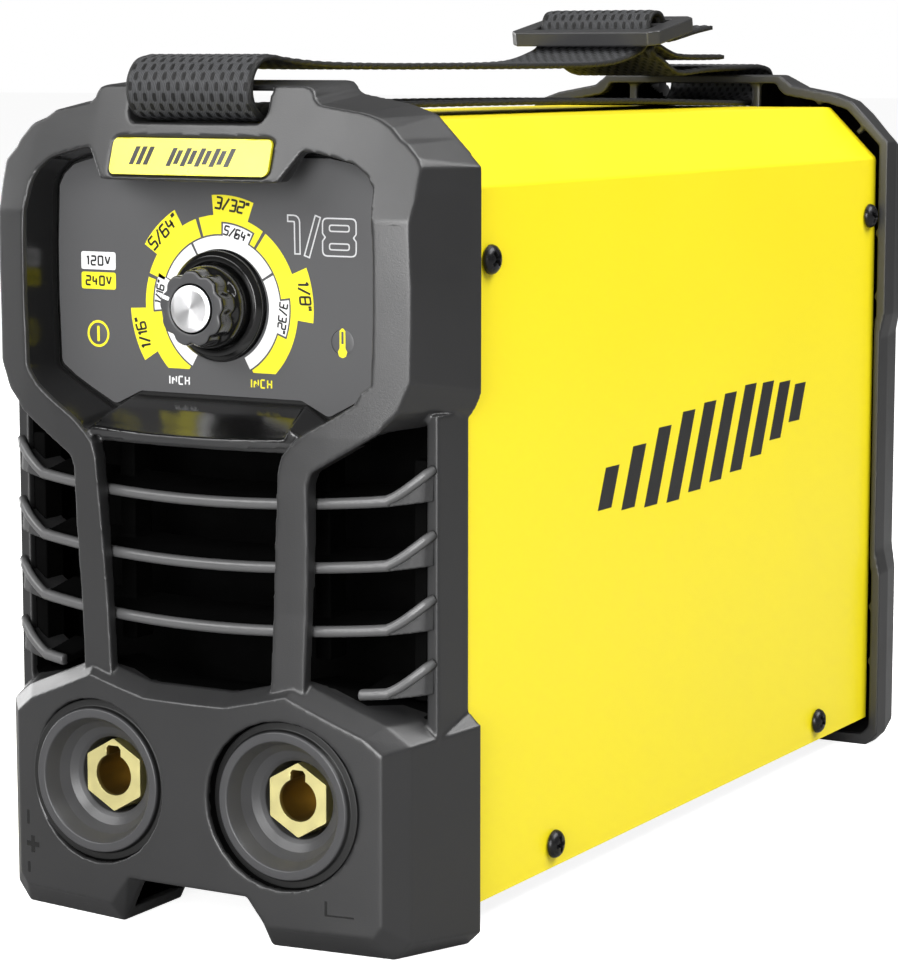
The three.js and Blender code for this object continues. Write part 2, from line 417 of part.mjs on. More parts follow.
// ---------------------------------------------------------------- rear moulding
const RB_1 = [[15.2, 9], [20.4, 0], [58.2, 0], [61.5, 3.2], [61.5, 50.6], [60, 57.2], [60, 118.8], [61.5, 125.4], [61.5, 174.6], [50.4, 185.9], [44, 188.1], [31.7, 190.3], [30.2, 191.4], [27.8, 193.3]];
const RB_4 = [[17, 9], [21.4, 0], [54.4, 0], [57, 3.4], [57, 49.6], [56, 56.6], [56, 119.4], [57, 125], [57, 171.6], [47.6, 182.2], [42, 184.6], [31.4, 186.4], [29.6, 188], [27, 190]];
const RB_5 = [[17.5, 10.5], [22, 3], [51.6, 3], [54, 5.6], [54, 49], [53.4, 56.4], [53.4, 120], [54, 124.6], [54, 170.2], [46, 179.4], [41, 181.6], [30.8, 183.4], [28.6, 185.4], [26, 187.4]];
const RB_1i = [[12.4, 11.8], [18, 3], [56.2, 3], [58.7, 5.4], [58.7, 49.6], [58.1, 56], [58.1, 120], [58.7, 126.4], [58.7, 173.6], [49, 183.4], [43.2, 185.2], [30, 187.4], [28, 188.6], [26.4, 190.9]];
const RB_4i = [[14.4, 11.8], [19, 3], [52, 3], [54.2, 6], [54.2, 48.8], [53.2, 56], [53.2, 120], [54.2, 125.6], [54.2, 170.4], [46, 179.8], [41, 182], [30, 183.8], [28, 185], [25.8, 187.4]];
let rear = cut(
  solid(loft([at(ring(RB_1), REAR_RIM_Y), at(ring(RB_1), 270), at(ring(RB_4), 286.6), at(ring(RB_5), LENGTH)])),
  solid(loft([at(ring(RB_1i), REAR_RIM_Y - 2), at(ring(RB_1i), 270), at(ring(RB_4i), 282.4)])),
);
// slot ring for the strap, ribs that steady the cover, screw tabs
const slotRing = solid(prismY(ring([[20.4, 181.4], [21.1, 183], [21.1, 191.4], [20, 192.6]]), COVER_Y1 + 0.4, 285));
const rib = (s, z) => solid(box(s > 0 ? 57.9 : -60, s > 0 ? 60 : -57.9, 264.2, 274, z, z + 1.4));
const ribs = [-1, 1].flatMap((s) => [
  solid(box(s > 0 ? 39.2 : -40.6, s > 0 ? 40.6 : -39.2, 264.2, 276, 184.8, 187.2)),
  rib(s, 148), rib(s, 130), rib(s, 40), rib(s, 24),
  solid(prismY((s > 0 ? (p) => p : mirrorX)([[51.3, 177.4], [52.3, 176.4], [55.6, 179.7], [54.6, 180.7]]), 264.2, 270)),
  solid(box(s > 0 ? 52.4 : -56.1, s > 0 ? 56.1 : -52.4, 252, 284, 146, 161.6)),
]);
// fan duct, switch and inlet bosses are open through the back wall
rear = join(rear, slotRing, ...ribs);
rear = cut(rear,
  solid(prismY(ring([[17.2, 183.9], [18.5, 185.2], [18.5, 189.6], [17.4, 190.9]]), 262, 300)),
  solid(box(-18.5, 18.5, 279, 300, 183.9, 200)),
  solid(prismY(circle(0, FAN_Z, 38, 28), 275, 300)),
  solid(prismY(ring([[44, 62.5], [44.5, 63.5], [44.5, 144.5], [44, 145.5]]), 286.8, 300)),
  solid(box(SWITCH.x - 14.6, SWITCH.x + 14.6, 286.2, 300, SWITCH.z - 11, SWITCH.z + 11)),
  solid(box(SWITCH.x - 13.2, SWITCH.x + 13.2, 275, 300, SWITCH.z - 9.6, SWITCH.z + 9.6)),
  solid(prismY(circle(GLAND.x, GLAND.z, 8.2, 20), 275, 300)),
  solid(prismY(circle(GLAND.x, GLAND.z, 12.5, 24), 286.2, 300)),
  solid(box(-24.6, 24.6, 289.2, 300, 149.6, 167.4)),
  ...[-1, 1].flatMap((s) => [
    solid(latheX([[0, 50], [2.0, 50], [2.0, 57], [0, 57]].map(([r, x]) => [r, s * x]), 259.5, 153.8, 10)),
    ...[-1, 1].map((t) => solid(prismY(circle(s * 35.75, FAN_Z + t * 35.75, 2.1, 10), 275, 300)))]),
);
add('rear_bezel', rear, 'case');

// fan guard: rings and spokes
const hoop = (r) => solid(prismY(circle(0, FAN_Z, r + 0.9, 16), 287.6, 289.4, [circle(0, FAN_Z, r - 0.9, 16)]));
const spoke = (a) => { const g = box(-1, 1, 287.6, 289.4, 6, 37.4); g.rotateY(a); g.translate(0, 0, FAN_Z); return solid(g); };
const guardPlate = solid(prismY(ring([[43.4, FAN_Z - 40.4], [44.1, FAN_Z - 39.7], [44.1, FAN_Z + 39.7], [43.4, FAN_Z + 40.4]]), 287.1, 289.4, [circle(0, FAN_Z, 36.6, 24)]));
let guard = join(guardPlate, hoop(9), hoop(18.4), hoop(27.6), ...[0, 1, 2, 3].map((i) => spoke((i * Math.PI) / 2 + Math.PI / 4)));
guard = cut(guard, ...[-1, 1].flatMap((s) => [-1, 1].map((t) => solid(prismY(circle(s * 35.75, FAN_Z + t * 35.75, 2.1, 10), 280, 300)))));
add('fan_guard', guard, 'nylon');
add('fan_frame', join(cut(solid(box(-40, 40, 257, 281.8, FAN_Z - 40, FAN_Z + 40)), solid(prismY(circle(0, FAN_Z, 38, 28), 250, 290)),
  ...[-1, 1].flatMap((s) => [-1, 1].map((t) => solid(prismY(circle(s * 35.75, FAN_Z + t * 35.75, 2.1, 10), 250, 290))))),
  solid(latheY([[0, 257.5], [15, 257.5], [15, 261.4], [0, 261.4]], 0, FAN_Z, 20)),
  ...[0, 1, 2].map((i) => { const g = box(-2, 2, 257.6, 260.2, 12, 38.6); g.rotateY((i * 2 * Math.PI) / 3 + 0.4); g.translate(0, 0, FAN_Z); return solid(g); })), 'fan');
const blade = (i) => {
  const g = new THREE.BoxGeometry(1.8, 19, FAN_R - 13, 1, 1, 3);
  const p = g.attributes.position;
  for (let k = 0; k < p.count; k++) {
    const zz = p.getZ(k) + (FAN_R - 13) / 2, t = zz / (FAN_R - 13), a = (52 - 18 * t) * (Math.PI / 180);
    const x = p.getX(k), y = p.getY(k);
    p.setXYZ(k, x * Math.cos(a) + y * Math.sin(a) + 6 * t * t, -x * Math.sin(a) + y * Math.cos(a), zz + 12.5);
  }
  g.rotateY((i * 2 * Math.PI) / 7);
  g.translate(0, 271.6, FAN_Z);
  return solid(g);
};
add('fan_rotor', join(solid(latheY([[0, 262], [14.6, 262], [15.6, 263], [15.6, 279.5], [14, 280.8], [0, 281.2]], 0, FAN_Z, 24)), ...[0, 1, 2, 3, 4, 5, 6].map(blade)), 'fan');
[[-1, -1], [1, -1], [-1, 1], [1, 1]].forEach(([s, t], i) => add(`fan_screw_${i + 1}`, latheY([[0, 289.97], [2.2, 289.95], [3.2, 289.75], [3.2, 289.7], [1.7, 289.7], [1.7, 262], [0, 261]], s * 35.75, FAN_Z + t * 35.75, 10), 'screw'));

// rear switch: bezel frame with a well, and a rocker that tilts about X
add('switch_housing', cut(
  join(solid(box(SWITCH.x - 14.3, SWITCH.x + 14.3, 286.5, 288.4, SWITCH.z - 10.7, SWITCH.z + 10.7)), solid(box(SWITCH.x - 12.9, SWITCH.x + 12.9, 266, 287, SWITCH.z - 9.3, SWITCH.z + 9.3))),
  solid(box(SWITCH.x - 11, SWITCH.x + 11, 276, 300, SWITCH.z - 7.6, SWITCH.z + 7.6))), 'gloss');
const ROCKER_Y = 284.5;
{
  const rock = span(-1, 1, 8).map((t) => [ROCKER_Y + 3.4 + 1.3 * t * t - 0.4, SWITCH.z + 6.9 * t]);
  const body = prismX([...rock.map((p) => p).reverse(), [ROCKER_Y - 1.5, SWITCH.z - 6.6], [ROCKER_Y - 5, SWITCH.z - 2.5], [ROCKER_Y - 5, SWITCH.z + 2.5], [ROCKER_Y - 1.5, SWITCH.z + 6.6]].reverse(), SWITCH.x - 10.6, SWITCH.x + 10.6);
  body.translate(0, -ROCKER_Y, -SWITCH.z);
  body.rotateX((-9 * Math.PI) / 180);
  body.translate(0, ROCKER_Y, SWITCH.z);
  add('switch_rocker', solid(body), 'rocker');
}
// cable inlet, with no cable in it
add('cord_gland', join(
  solid(latheY([[4.6, 262], [7.9, 262], [7.9, 286.5], [4.6, 286.5]], GLAND.x, GLAND.z, 24)),
  cut(solid(prismY(circle(GLAND.x, GLAND.z, 11.6, 6), 286.5, 289.8)), solid(prismY(circle(GLAND.x, GLAND.z, 4.6, 24), 286, 292)))), 'nylon');
add('gland_nut', prismY(circle(GLAND.x, GLAND.z, 11.6, 6), 273.5, 278.5, [circle(GLAND.x, GLAND.z, 8.25, 24)]), 'nylon');
add('rating_plate', box(-24.2, 24.2, 289.35, 289.85, 150, 167), 'plate');

// ---------------------------------------------------------------- carrying strap
const STRAP = [[242, 206.6], [231, 205.3], [221.5, 203.9], [215.6, 203.2], [212.6, 203.8], [211.3, 205.6], [210.9, 207.6], [209.4, 209.7], [206.6, 210.4], [203.6, 209.7], [202, 207.6], [201.7, 204.8], [200.6, 202.3], [197.8, 200.3], [193, 199.0], [187, 197.8], [179, 196.8], [168, 196.3], [140, 196.1], [100, 196.1], [60, 196.2], [34, 196.7], [20, 197.6], [13, 198.2], [8.4, 197], [5.6, 193.6], [5.4, 189.6], [7.8, 186.2], [12, 185.0], [20, 185.2], [32, 186.4], [60, 187.0], [110, 187.1], [160, 186.9], [205, 186.4], [240, 185.6], [262, 185.2], [276, 185.2], [282, 186.6], [284.8, 190.2], [283.4, 193.8], [279, 195.3], [262, 195.3], [240, 194.8], [226, 194.0], [220, 194.2], [214.5, 195.8], [208.8, 198.0], [205.2, 199.2], [204.1, 200.4], [205.3, 201.5], [208.4, 201.3], [213, 200.1], [219, 198.9], [232, 198.3], [250, 198.4]];
add('strap_webbing', ribbon(STRAP, WEB_T, -WEB_HALF, WEB_HALF, 0.06), 'web');
const BUCKLE = { y: 193.2, z: 203.1, tilt: 10.2, depth: 26, thick: 3.9 };
{
  const slide = () => prismZ([[-22.6 + 2.5, 0], [22.6 - 2.5, 0], [22.6, 2.5], [22.6, BUCKLE.depth - 2.5], [20.1, BUCKLE.depth], [-20.1, BUCKLE.depth], [-22.6, BUCKLE.depth - 2.5], [-22.6, 2.5]], -BUCKLE.thick / 2, BUCKLE.thick / 2,
    [[[-17.6, 5], [-17.6, 11.4], [17.6, 11.4], [17.6, 5]], [[-17.6, 14.8], [-17.6, 21.4], [17.6, 21.4], [17.6, 14.8]]]);
  const g = slide();
  g.rotateX((BUCKLE.tilt * Math.PI) / 180);
  g.translate(0, BUCKLE.y, BUCKLE.z);
  add('strap_buckle', solid(g), 'nylon');
}

// ---------------------------------------------------------------- inside
add('main_board', cut(solid(box(-50, 50, 70, 246, 21.2, 22.8)), solid(box(-17, -8, 128, 226, 20, 24))), 'board');
const comb = (x0, z0, s) => {
  const pts = [[0, 0], [3, 0]];
  for (let i = 0; i < 7; i++) pts.push([3, 2 + i * 9], [26, 2 + i * 9], [26, 4 + i * 9], [3, 4 + i * 9]);
  pts.push([3, 60], [0, 60]);
  const q = pts.map(([a, b]) => [x0 + s * a, z0 + b]);
  return s > 0 ? q : q.reverse();
};
add('heatsink_left', prismY(comb(-18, 24, -1), 128, 238), 'alu');
add('heatsink_right', prismY(comb(18, 24, 1), 128, 238), 'alu');
const row = (x, c) => join(solid(box(c, c + 2, 132, 222, 40, 48)), ...[134, 158, 182, 204].map((y) => solid(box(x, x + 4.6, y, y + 16, 34, 55))));
add('power_transistors', row(-17.6, -13.4), 'chip');
add('output_rectifiers', row(13, 11.4), 'chip');
add('insulation_barrier', cut(solid(box(-54, 54, 42.4, 43.4, 25.5, 119)), solid(box(-35.5, -15, 40, 46, 42.6, 47.4)), solid(box(15, 35.5, 40, 46, 42.6, 47.4))), 'chip');
const can = (x, y) => latheZ([[0, 23.2], [12, 23.2], [12.4, 24], [12.4, 62], [11.4, 63], [0, 63]], x, y, 20);
add('bulk_capacitor_1', can(-34, 88), 'cap');
add('bulk_capacitor_2', can(-34, 114), 'cap');
add('transformer_core', cut(solid(box(-26, 26, 140, 170, 88, 136)), solid(box(-19, -9, 120, 180, 95, 129)), solid(box(9, 19, 120, 180, 95, 129))), 'ferrite');
add('transformer_winding', cut(solid(prismZ([[-18.6, 134], [-15, 130], [15, 130], [18.6, 134], [18.6, 176], [15, 180], [-15, 180], [-18.6, 176]], 95.4, 128.6)), solid(box(-9.4, 9.4, 139.6, 170.4, 86, 136))), 'copper');
add('output_choke', latheY([[10, 0], [22, 0], [24, 2], [24, 16], [22, 18], [10, 18], [8.4, 16], [8.4, 2]].map(([r, y]) => [r, y + 96]), 24, 78, 20), 'copper');

export default group;
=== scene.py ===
import math

import bmesh
import bpy
import numpy as np
from mathutils import Matrix, Vector
from mathutils.geometry import tessellate_polygon


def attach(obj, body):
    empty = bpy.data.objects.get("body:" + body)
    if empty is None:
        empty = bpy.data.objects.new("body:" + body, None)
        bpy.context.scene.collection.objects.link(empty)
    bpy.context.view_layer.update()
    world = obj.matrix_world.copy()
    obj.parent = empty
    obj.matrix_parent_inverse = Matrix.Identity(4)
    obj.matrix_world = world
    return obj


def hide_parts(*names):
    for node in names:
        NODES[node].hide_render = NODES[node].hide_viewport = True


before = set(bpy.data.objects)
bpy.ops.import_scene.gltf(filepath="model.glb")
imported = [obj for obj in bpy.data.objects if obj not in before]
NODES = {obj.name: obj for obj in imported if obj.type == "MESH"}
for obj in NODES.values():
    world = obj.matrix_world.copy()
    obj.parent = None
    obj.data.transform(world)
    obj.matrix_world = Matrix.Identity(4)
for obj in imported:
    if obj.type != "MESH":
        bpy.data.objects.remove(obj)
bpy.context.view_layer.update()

MM = 0.001


# ------------------------------------------------------------------ mesh code
def metres(p):
    """Millimetres, with y measured back from the front plane, to the row frame."""
    return (p[0] * MM, (p[1] - 145.0) * MM, p[2] * MM)


def make(name, verts, faces, mat, angle=32, flip_check=True):
    me = bpy.data.meshes.new(name)
    me.from_pydata([metres(v) for v in verts], [], faces)
    me.validate()
    ob = bpy.data.objects.new(name, me)
    bpy.context.scene.collection.objects.link(ob)
    bm = bmesh.new()
    bm.from_mesh(me)
    bmesh.ops.remove_doubles(bm, verts=bm.verts, dist=1e-7)
    if flip_check:
        bmesh.ops.recalc_face_normals(bm, faces=bm.faces)
    bm.to_mesh(me)
    bm.free()
    shade(ob, angle)
    me.materials.append(mat)
    return ob


def shade(ob, angle=32):
    me = ob.data
    me.polygons.foreach_set("use_smooth", [True] * len(me.polygons))
    me.set_sharp_from_angle(angle=math.radians(angle))
    me.update()


def bevel(ob, width=0.3, segments=2, angle=32):
    m = ob.modifiers.new("edges", "BEVEL")
    m.width = width * MM
    m.segments = segments
    m.limit_method = "ANGLE"
    m.angle_limit = math.radians(angle)
    m.harden_normals = True
    m.use_clamp_overlap = True
    return ob


def applied(ob, name=None):
    """The object with its modifiers turned into plain mesh."""
    dg = bpy.context.evaluated_depsgraph_get()
    me = bpy.data.meshes.new_from_object(ob.evaluated_get(dg))
    mats = [s.material for s in ob.material_slots]
    ob.modifiers.clear()
    ob.data = me
    if not len(me.materials):
        for m in mats:
            me.materials.append(m)
    if name:
        ob.name = name
    return ob


def piece(ob, slot, *nodes, body="case"):
    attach(ob, body)
    if nodes:
        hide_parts(*nodes)
    return ob


def fillet(points, r, n=4, closed=True, skip=()):
    """Rounds the corners of a 2-D outline."""
    out = []
    m = len(points)
    for i, p in enumerate(points):
        if (not closed and i in (0, m - 1)) or i in skip:
            out.append(tuple(p))
            continue
        a, b = points[i - 1], points[(i + 1) % m]
        da = np.array(a, float) - p
        db = np.array(b, float) - p
        la, lb = np.linalg.norm(da), np.linalg.norm(db)
        if la < 1e-9 or lb < 1e-9:
            out.append(tuple(p))
            continue
        rr = r[i] if isinstance(r, (list, tuple)) else r
        ua, ub = da / la, db / lb
        half = math.acos(max(-1, min(1, float(ua @ ub)))) / 2
        if half > math.radians(88) or rr <= 0:
            out.append(tuple(p))
            continue
        t = min(rr / math.tan(half), 0.48 * la, 0.48 * lb)
        s, e = np.array(p) + ua * t, np.array(p) + ub * t
        for k in range(n + 1):
            u = k / n
            q = (1 - u) ** 2 * s + 2 * u * (1 - u) * np.array(p, float) + u * u * e
            out.append((float(q[0]), float(q[1])))
    return out


def ring(half):
    """Half outline from the bottom centre outwards and up, mirrored to a full one."""
    return list(half) + [(-x, z) for x, z in reversed(half) if x != 0]


def rounded(x0, x1, z0, z1, r, n=4):
    return fillet([(x0, z0), (x1, z0), (x1, z1), (x0, z1)], r, n)


def circle(cx, cz, r, n=64, a0=0.0):
    return [(cx + r * math.cos(a0 + 2 * math.pi * i / n), cz + r * math.sin(a0 + 2 * math.pi * i / n)) for i in range(n)]


def slab(name, shapes, place, t0, t1, mat, angle=32):
    """Closed sheets between depths t0 and t1. shapes is a list of [outline, hole, hole...] in 2-D."""
    verts, faces = [], []
    for loops in shapes:
        flat = [p for loop in loops for p in loop]
        n = len(flat)
        base = len(verts)
        verts += [place(u, v, t1) for u, v in flat] + [place(u, v, t0) for u, v in flat]
        for tri in tessellate_polygon([[Vector((u, v, 0)) for u, v in loop] for loop in loops]):
            a, b, c = tri
            faces.append((base + a, base + b, base + c))
            faces.append((base + n + c, base + n + b, base + n + a))
        o = base
        for loop in loops:
            m = len(loop)
            for i in range(m):
                j = (i + 1) % m
                faces.append((o + i, o + n + i, o + n + j, o + j))
            o += m
    return make(name, verts, faces, mat, angle)


def prism_y(name, loops, y0, y1, mat, angle=32):
    return slab(name, [loops], lambda u, v, d: (u, d, v), y1, y0, mat, angle)


def lathe(name, profile, cx, cz, mat, n=96, axis="y", angle=32):
    """profile: closed loop of (radius, depth). axis y turns about (cx, y, cz), axis x about (x, cx, cz), axis z about (cx, cz, z)."""
    verts, faces, rows = [], [], []

    def put(r, d, a):
        c, s = r * math.cos(a), r * math.sin(a)
        if axis == "y":
            return (cx + c, d, cz + s)
        if axis == "x":
            return (d, cx + c, cz + s)
        return (cx + c, cz + s, d)

    for r, d in profile:
        if r < 1e-6:
            rows.append([len(verts)] * n)
            verts.append(put(0, d, 0))
        else:
            rows.append(list(range(len(verts), len(verts) + n)))
            verts += [put(r, d, 2 * math.pi * i / n) for i in range(n)]
    for k in range(len(rows)):
        a, b = rows[k], rows[(k + 1) % len(rows)]
        if profile[k][0] < 1e-6 and profile[(k + 1) % len(rows)][0] < 1e-6:
            continue
        for i in range(n):
            j = (i + 1) % n
            f = [a[i], a[j], b[j], b[i]]
            f = [v for q, v in enumerate(f) if v not in f[:q]]
            if len(f) > 2:
                faces.append(tuple(f))
    return make(name, verts, faces, mat, angle)


def rings(name, stations, mat, closed_ends=True, angle=32, loop=False):
    """Skin through rings of equal counts."""
    n = len(stations[0])
    verts = [p for s in stations for p in s]
    faces = []
    m = len(stations)
    for k in range(m if loop else m - 1):
        for i in range(n):
            j = (i + 1) % n
            k2 = (k + 1) % m
            faces.append((k * n + i, k * n + j, k2 * n + j, k2 * n + i))
    if closed_ends and not loop:
        faces.append(tuple(range(n)))
        faces.append(tuple(reversed(range((m - 1) * n, m * n))))
    return make(name, verts, faces, mat, angle)


def joined(name, obs):
    """One object from several closed ones."""
    bm = bmesh.new()
    for o in obs:
        bm.from_mesh(o.data)
    me = bpy.data.meshes.new(name)
    bm.to_mesh(me)
    bm.free()
    mats = [m for m in obs[0].data.materials]
    for o in obs:
        bpy.data.objects.remove(o)
    ob = bpy.data.objects.new(name, me)
    bpy.context.scene.collection.objects.link(ob)
    for m in mats:
        me.materials.append(m)
    shade(ob)
    return ob


def softened(name, source, mat, voxel, passes, faces, fix=None):
    """A moulded version of a faceted solid: remeshed, its edges rounded by smoothing, thinned again where it is flat."""
    me = source.data.copy()
    bm = bmesh.new()
    bm.from_mesh(me)
    bmesh.ops.remove_doubles(bm, verts=bm.verts, dist=2e-6)
    bm.to_mesh(me)
    bm.free()
    ob = bpy.data.objects.new(name, me)
    bpy.context.scene.collection.objects.link(ob)
    me.materials.clear()
    me.materials.append(mat)
    r = ob.modifiers.new("remesh", "REMESH")
    r.mode = "VOXEL"
    r.voxel_size = voxel * MM * 1.0
    s = ob.modifiers.new("soft", "SMOOTH")
    s.factor = 0.5
    s.iterations = passes
    applied(ob)
    n = sum(len(p.vertices) - 2 for p in ob.data.polygons)
    if n > faces:
        d = ob.modifiers.new("thin", "DECIMATE")
        d.ratio = faces / n
        applied(ob)
    if fix:
        co = np.empty(len(ob.data.vertices) * 3)
        ob.data.vertices.foreach_get("co", co)
        co = co.reshape(-1, 3)
        q = co / MM
        q[:, 1] += 145.0
        q = fix(q)
        q[:, 1] -= 145.0
        ob.data.vertices.foreach_set("co", (q * MM).ravel())
    ob.data.materials.clear()
    ob.data.materials.append(mat)
    ob.data.polygons.foreach_set("use_smooth", [True] * len(ob.data.polygons))
    ob.data.update()
    w = ob.modifiers.new("normals", "WEIGHTED_NORMAL")
    w.mode = "FACE_AREA"
    w.weight = 80
    w.keep_sharp = False
    return ob


# ------------------------------------------------------------------ finishes
def finish_of(name, color, rough, metal=0.0, grain=0.0, grain_mm=0.3, mottle=0.05, mottle_mm=14.0, rough_var=0.05,
              coat=0.0, specular=0.5, sheen=0.0, aniso=0.0):
    m = bpy.data.materials.new(name)
    m.use_nodes = True
    nt = m.node_tree
    b = nt.nodes["Principled BSDF"]
    b.inputs["Metallic"].default_value = metal
    b.inputs["Specular IOR Level"].default_value = specular
    b.inputs["Coat Weight"].default_value = coat
    b.inputs["Coat Roughness"].default_value = 0.08
    if sheen:
        b.inputs["Sheen Weight"].default_value = sheen
        b.inputs["Sheen Roughness"].default_value = 0.5
    if aniso:
        b.inputs["Anisotropic"].default_value = aniso
    tc = nt.nodes.new("ShaderNodeTexCoord")
    n1 = nt.nodes.new("ShaderNodeTexNoise")
    n1.inputs["Scale"].default_value = 1000.0 / mottle_mm
    n1.inputs["Detail"].default_value = 3
    nt.links.new(tc.outputs["Object"], n1.inputs["Vector"])
    ramp = nt.nodes.new("ShaderNodeMix")
    ramp.data_type = "RGBA"
    lo = [max(0, c * (1 - mottle)) for c in color]
    hi = [min(1, c * (1 + mottle)) for c in color]
    ramp.inputs[6].default_value = (*lo, 1)
    ramp.inputs[7].default_value = (*hi, 1)
    nt.links.new(n1.outputs["Fac"], ramp.inputs[0])
    nt.links.new(ramp.outputs[2], b.inputs["Base Color"])
    mr = nt.nodes.new("ShaderNodeMapRange")
    mr.inputs["From Min"].default_value = 0.3
    mr.inputs["From Max"].default_value = 0.7
    mr.inputs["To Min"].default_value = max(0.02, rough - rough_var)
    mr.inputs["To Max"].default_value = min(1.0, rough + rough_var)
    nt.links.new(n1.outputs["Fac"], mr.inputs["Value"])
    nt.links.new(mr.outputs["Result"], b.inputs["Roughness"])
    if grain:
        n2 = nt.nodes.new("ShaderNodeTexNoise")
        n2.inputs["Scale"].default_value = 1000.0 / grain_mm
        n2.inputs["Detail"].default_value = 2
        nt.links.new(tc.outputs["Object"], n2.inputs["Vector"])
        bump = nt.nodes.new("ShaderNodeBump")
        bump.inputs["Strength"].default_value = grain
        bump.inputs["Distance"].default_value = 0.00006
        nt.links.new(n2.outputs["Fac"], bump.inputs["Height"])
        nt.links.new(bump.outputs["Normal"], b.inputs["Normal"])
    m["kit"] = 1
    return m


def node(m, kind, **values):
    n = m.node_tree.nodes.new(kind)
    for k, v in values.items():
        setattr(n, k, v)
    return n


def math_node(m, op, a, b=None):
    n = node(m, "ShaderNodeMath", operation=op)
    for i, v in enumerate((a, b)):
        if v is None:
            continue
        if isinstance(v, (int, float)):
            n.inputs[i].default_value = v
        else:
            m.node_tree.links.new(v, n.inputs[i])
    return n.outputs[0]


def axes_of(m):
    """x, y, z sockets in millimetres, y measured back from the front plane."""
    tc = node(m, "ShaderNodeTexCoord")
    s = node(m, "ShaderNodeSeparateXYZ")
    m.node_tree.links.new(tc.outputs["Object"], s.inputs[0])
    return (math_node(m, "MULTIPLY", s.outputs[0], 1000.0),
            math_node(m, "ADD", math_node(m, "MULTIPLY", s.outputs[1], 1000.0), 145.0),
            math_node(m, "MULTIPLY", s.outputs[2], 1000.0))


def overlay(m, mask, color, rough):
    """Where mask is 1 the finish changes to color and rough."""
    nt = m.node_tree
    b = nt.nodes["Principled BSDF"]
    old = b.inputs["Base Color"].links[0].from_socket
    mix = node(m, "ShaderNodeMix", data_type="RGBA")
    nt.links.new(mask, mix.inputs[0])
    nt.links.new(old, mix.inputs[6])
    mix.inputs[7].default_value = (*color, 1)
    nt.links.new(mix.outputs[2], b.inputs["Base Color"])
    oldr = b.inputs["Roughness"].links[0].from_socket
    mr = node(m, "ShaderNodeMix", data_type="FLOAT")
    nt.links.new(mask, mr.inputs[0])
    nt.links.new(oldr, mr.inputs[2])
    mr.inputs[3].default_value = rough
    nt.links.new(mr.outputs[0], b.inputs["Roughness"])


CASE = finish_of("moulded_case", (0.019, 0.019, 0.0195), 0.36, grain=0.35, grain_mm=0.32, mottle=0.05, mottle_mm=22, rough_var=0.04, specular=0.55)
CASE_R = finish_of("moulded_rear", (0.022, 0.022, 0.0225), 0.42, grain=0.35, grain_mm=0.32, mottle=0.05, mottle_mm=22, rough_var=0.04, specular=0.55)
SLAT = finish_of("moulded_slats", (0.085, 0.085, 0.086), 0.34, grain=0.25, grain_mm=0.3, mottle=0.05, mottle_mm=18, specular=0.55)
CHEEK = finish_of("moulded_cheeks", (0.022, 0.022, 0.0225), 0.55, grain=0.6, grain_mm=0.6, mottle=0.25, mottle_mm=1.0, specular=0.4)
PANEL = finish_of("panel_black", (0.012, 0.012, 0.012), 0.2, grain=0.1, mottle=0.2, mottle_mm=10, rough_var=0.04)
LABEL = finish_of("label_film", (0.064, 0.064, 0.066), 0.5, grain=0.22, grain_mm=0.14, mottle=0.03, mottle_mm=25, rough_var=0.03, specular=0.45)
PRINT_Y = finish_of("print_yellow", (0.76, 0.68, 0.02), 0.42, grain=0.12, grain_mm=0.14, mottle=0.02, mottle_mm=8)
PRINT_W = finish_of("print_white", (0.74, 0.74, 0.74), 0.42, grain=0.12, grain_mm=0.14, mottle=0.02, mottle_mm=8)
PRINT_K = finish_of("print_black", (0.010, 0.010, 0.010), 0.4, grain=0.12, grain_mm=0.14, mottle=0.2, mottle_mm=8)
PRINT_G = finish_of("print_grey", (0.50, 0.50, 0.51), 0.45, grain=0.12, grain_mm=0.14, mottle=0.03, mottle_mm=8)
BADGE = finish_of("badge_enamel", (0.64, 0.58, 0.015), 0.32, grain=0.05, grain_mm=0.5, mottle=0.02, mottle_mm=12, coat=0.4)
GLOSS = finish_of("polished_black", (0.006, 0.006, 0.006), 0.14, grain=0.03, grain_mm=0.5, mottle=0.2, mottle_mm=6, rough_var=0.03)
KNOB = finish_of("knob_satin", (0.052, 0.052, 0.054), 0.36, grain=0.2, grain_mm=0.2, mottle=0.05, mottle_mm=7)
WHITE = finish_of("pointer_white", (0.9, 0.9, 0.9), 0.35, grain=0.05, mottle=0.02, mottle_mm=2)
YELLOW = finish_of("powder_coat", (0.95, 0.79, 0.012), 0.34, grain=0.30, grain_mm=0.55, mottle=0.018, mottle_mm=45, rough_var=0.035, specular=0.5)
BRASS = finish_of("bright_brass", (0.96, 0.86, 0.40), 0.42, metal=1.0, grain=0.05, grain_mm=0.15, mottle=0.06, mottle_mm=3)
SOCKET = finish_of("socket_moulding", (0.045, 0.045, 0.047), 0.38, grain=0.25, grain_mm=0.25, mottle=0.05, mottle_mm=9)
SCREW = finish_of("black_oxide", (0.020, 0.020, 0.022), 0.30, metal=0.6, grain=0.15, grain_mm=0.3, mottle=0.2, mottle_mm=2)
NYLON = finish_of("black_nylon", (0.040, 0.040, 0.042), 0.44, grain=0.3, grain_mm=0.3, mottle=0.08, mottle_mm=7)
BUCKLE = finish_of("buckle_nylon", (0.032, 0.032, 0.033), 0.36, grain=0.25, grain_mm=0.35, mottle=0.08, mottle_mm=8)
FAN = finish_of("fan_plastic", (0.022, 0.022, 0.023), 0.38, grain=0.15, grain_mm=0.4, mottle=0.1, mottle_mm=9)
ROCKER = finish_of("rocker_red", (0.50, 0.012, 0.010), 0.2, grain=0.04, grain_mm=0.4, mottle=0.05, mottle_mm=6, coat=0.3)
ZINC = finish_of("zinc_plate", (0.62, 0.62, 0.65), 0.36, metal=1.0, grain=0.15, grain_mm=0.4, mottle=0.08, mottle_mm=6, rough_var=0.08)
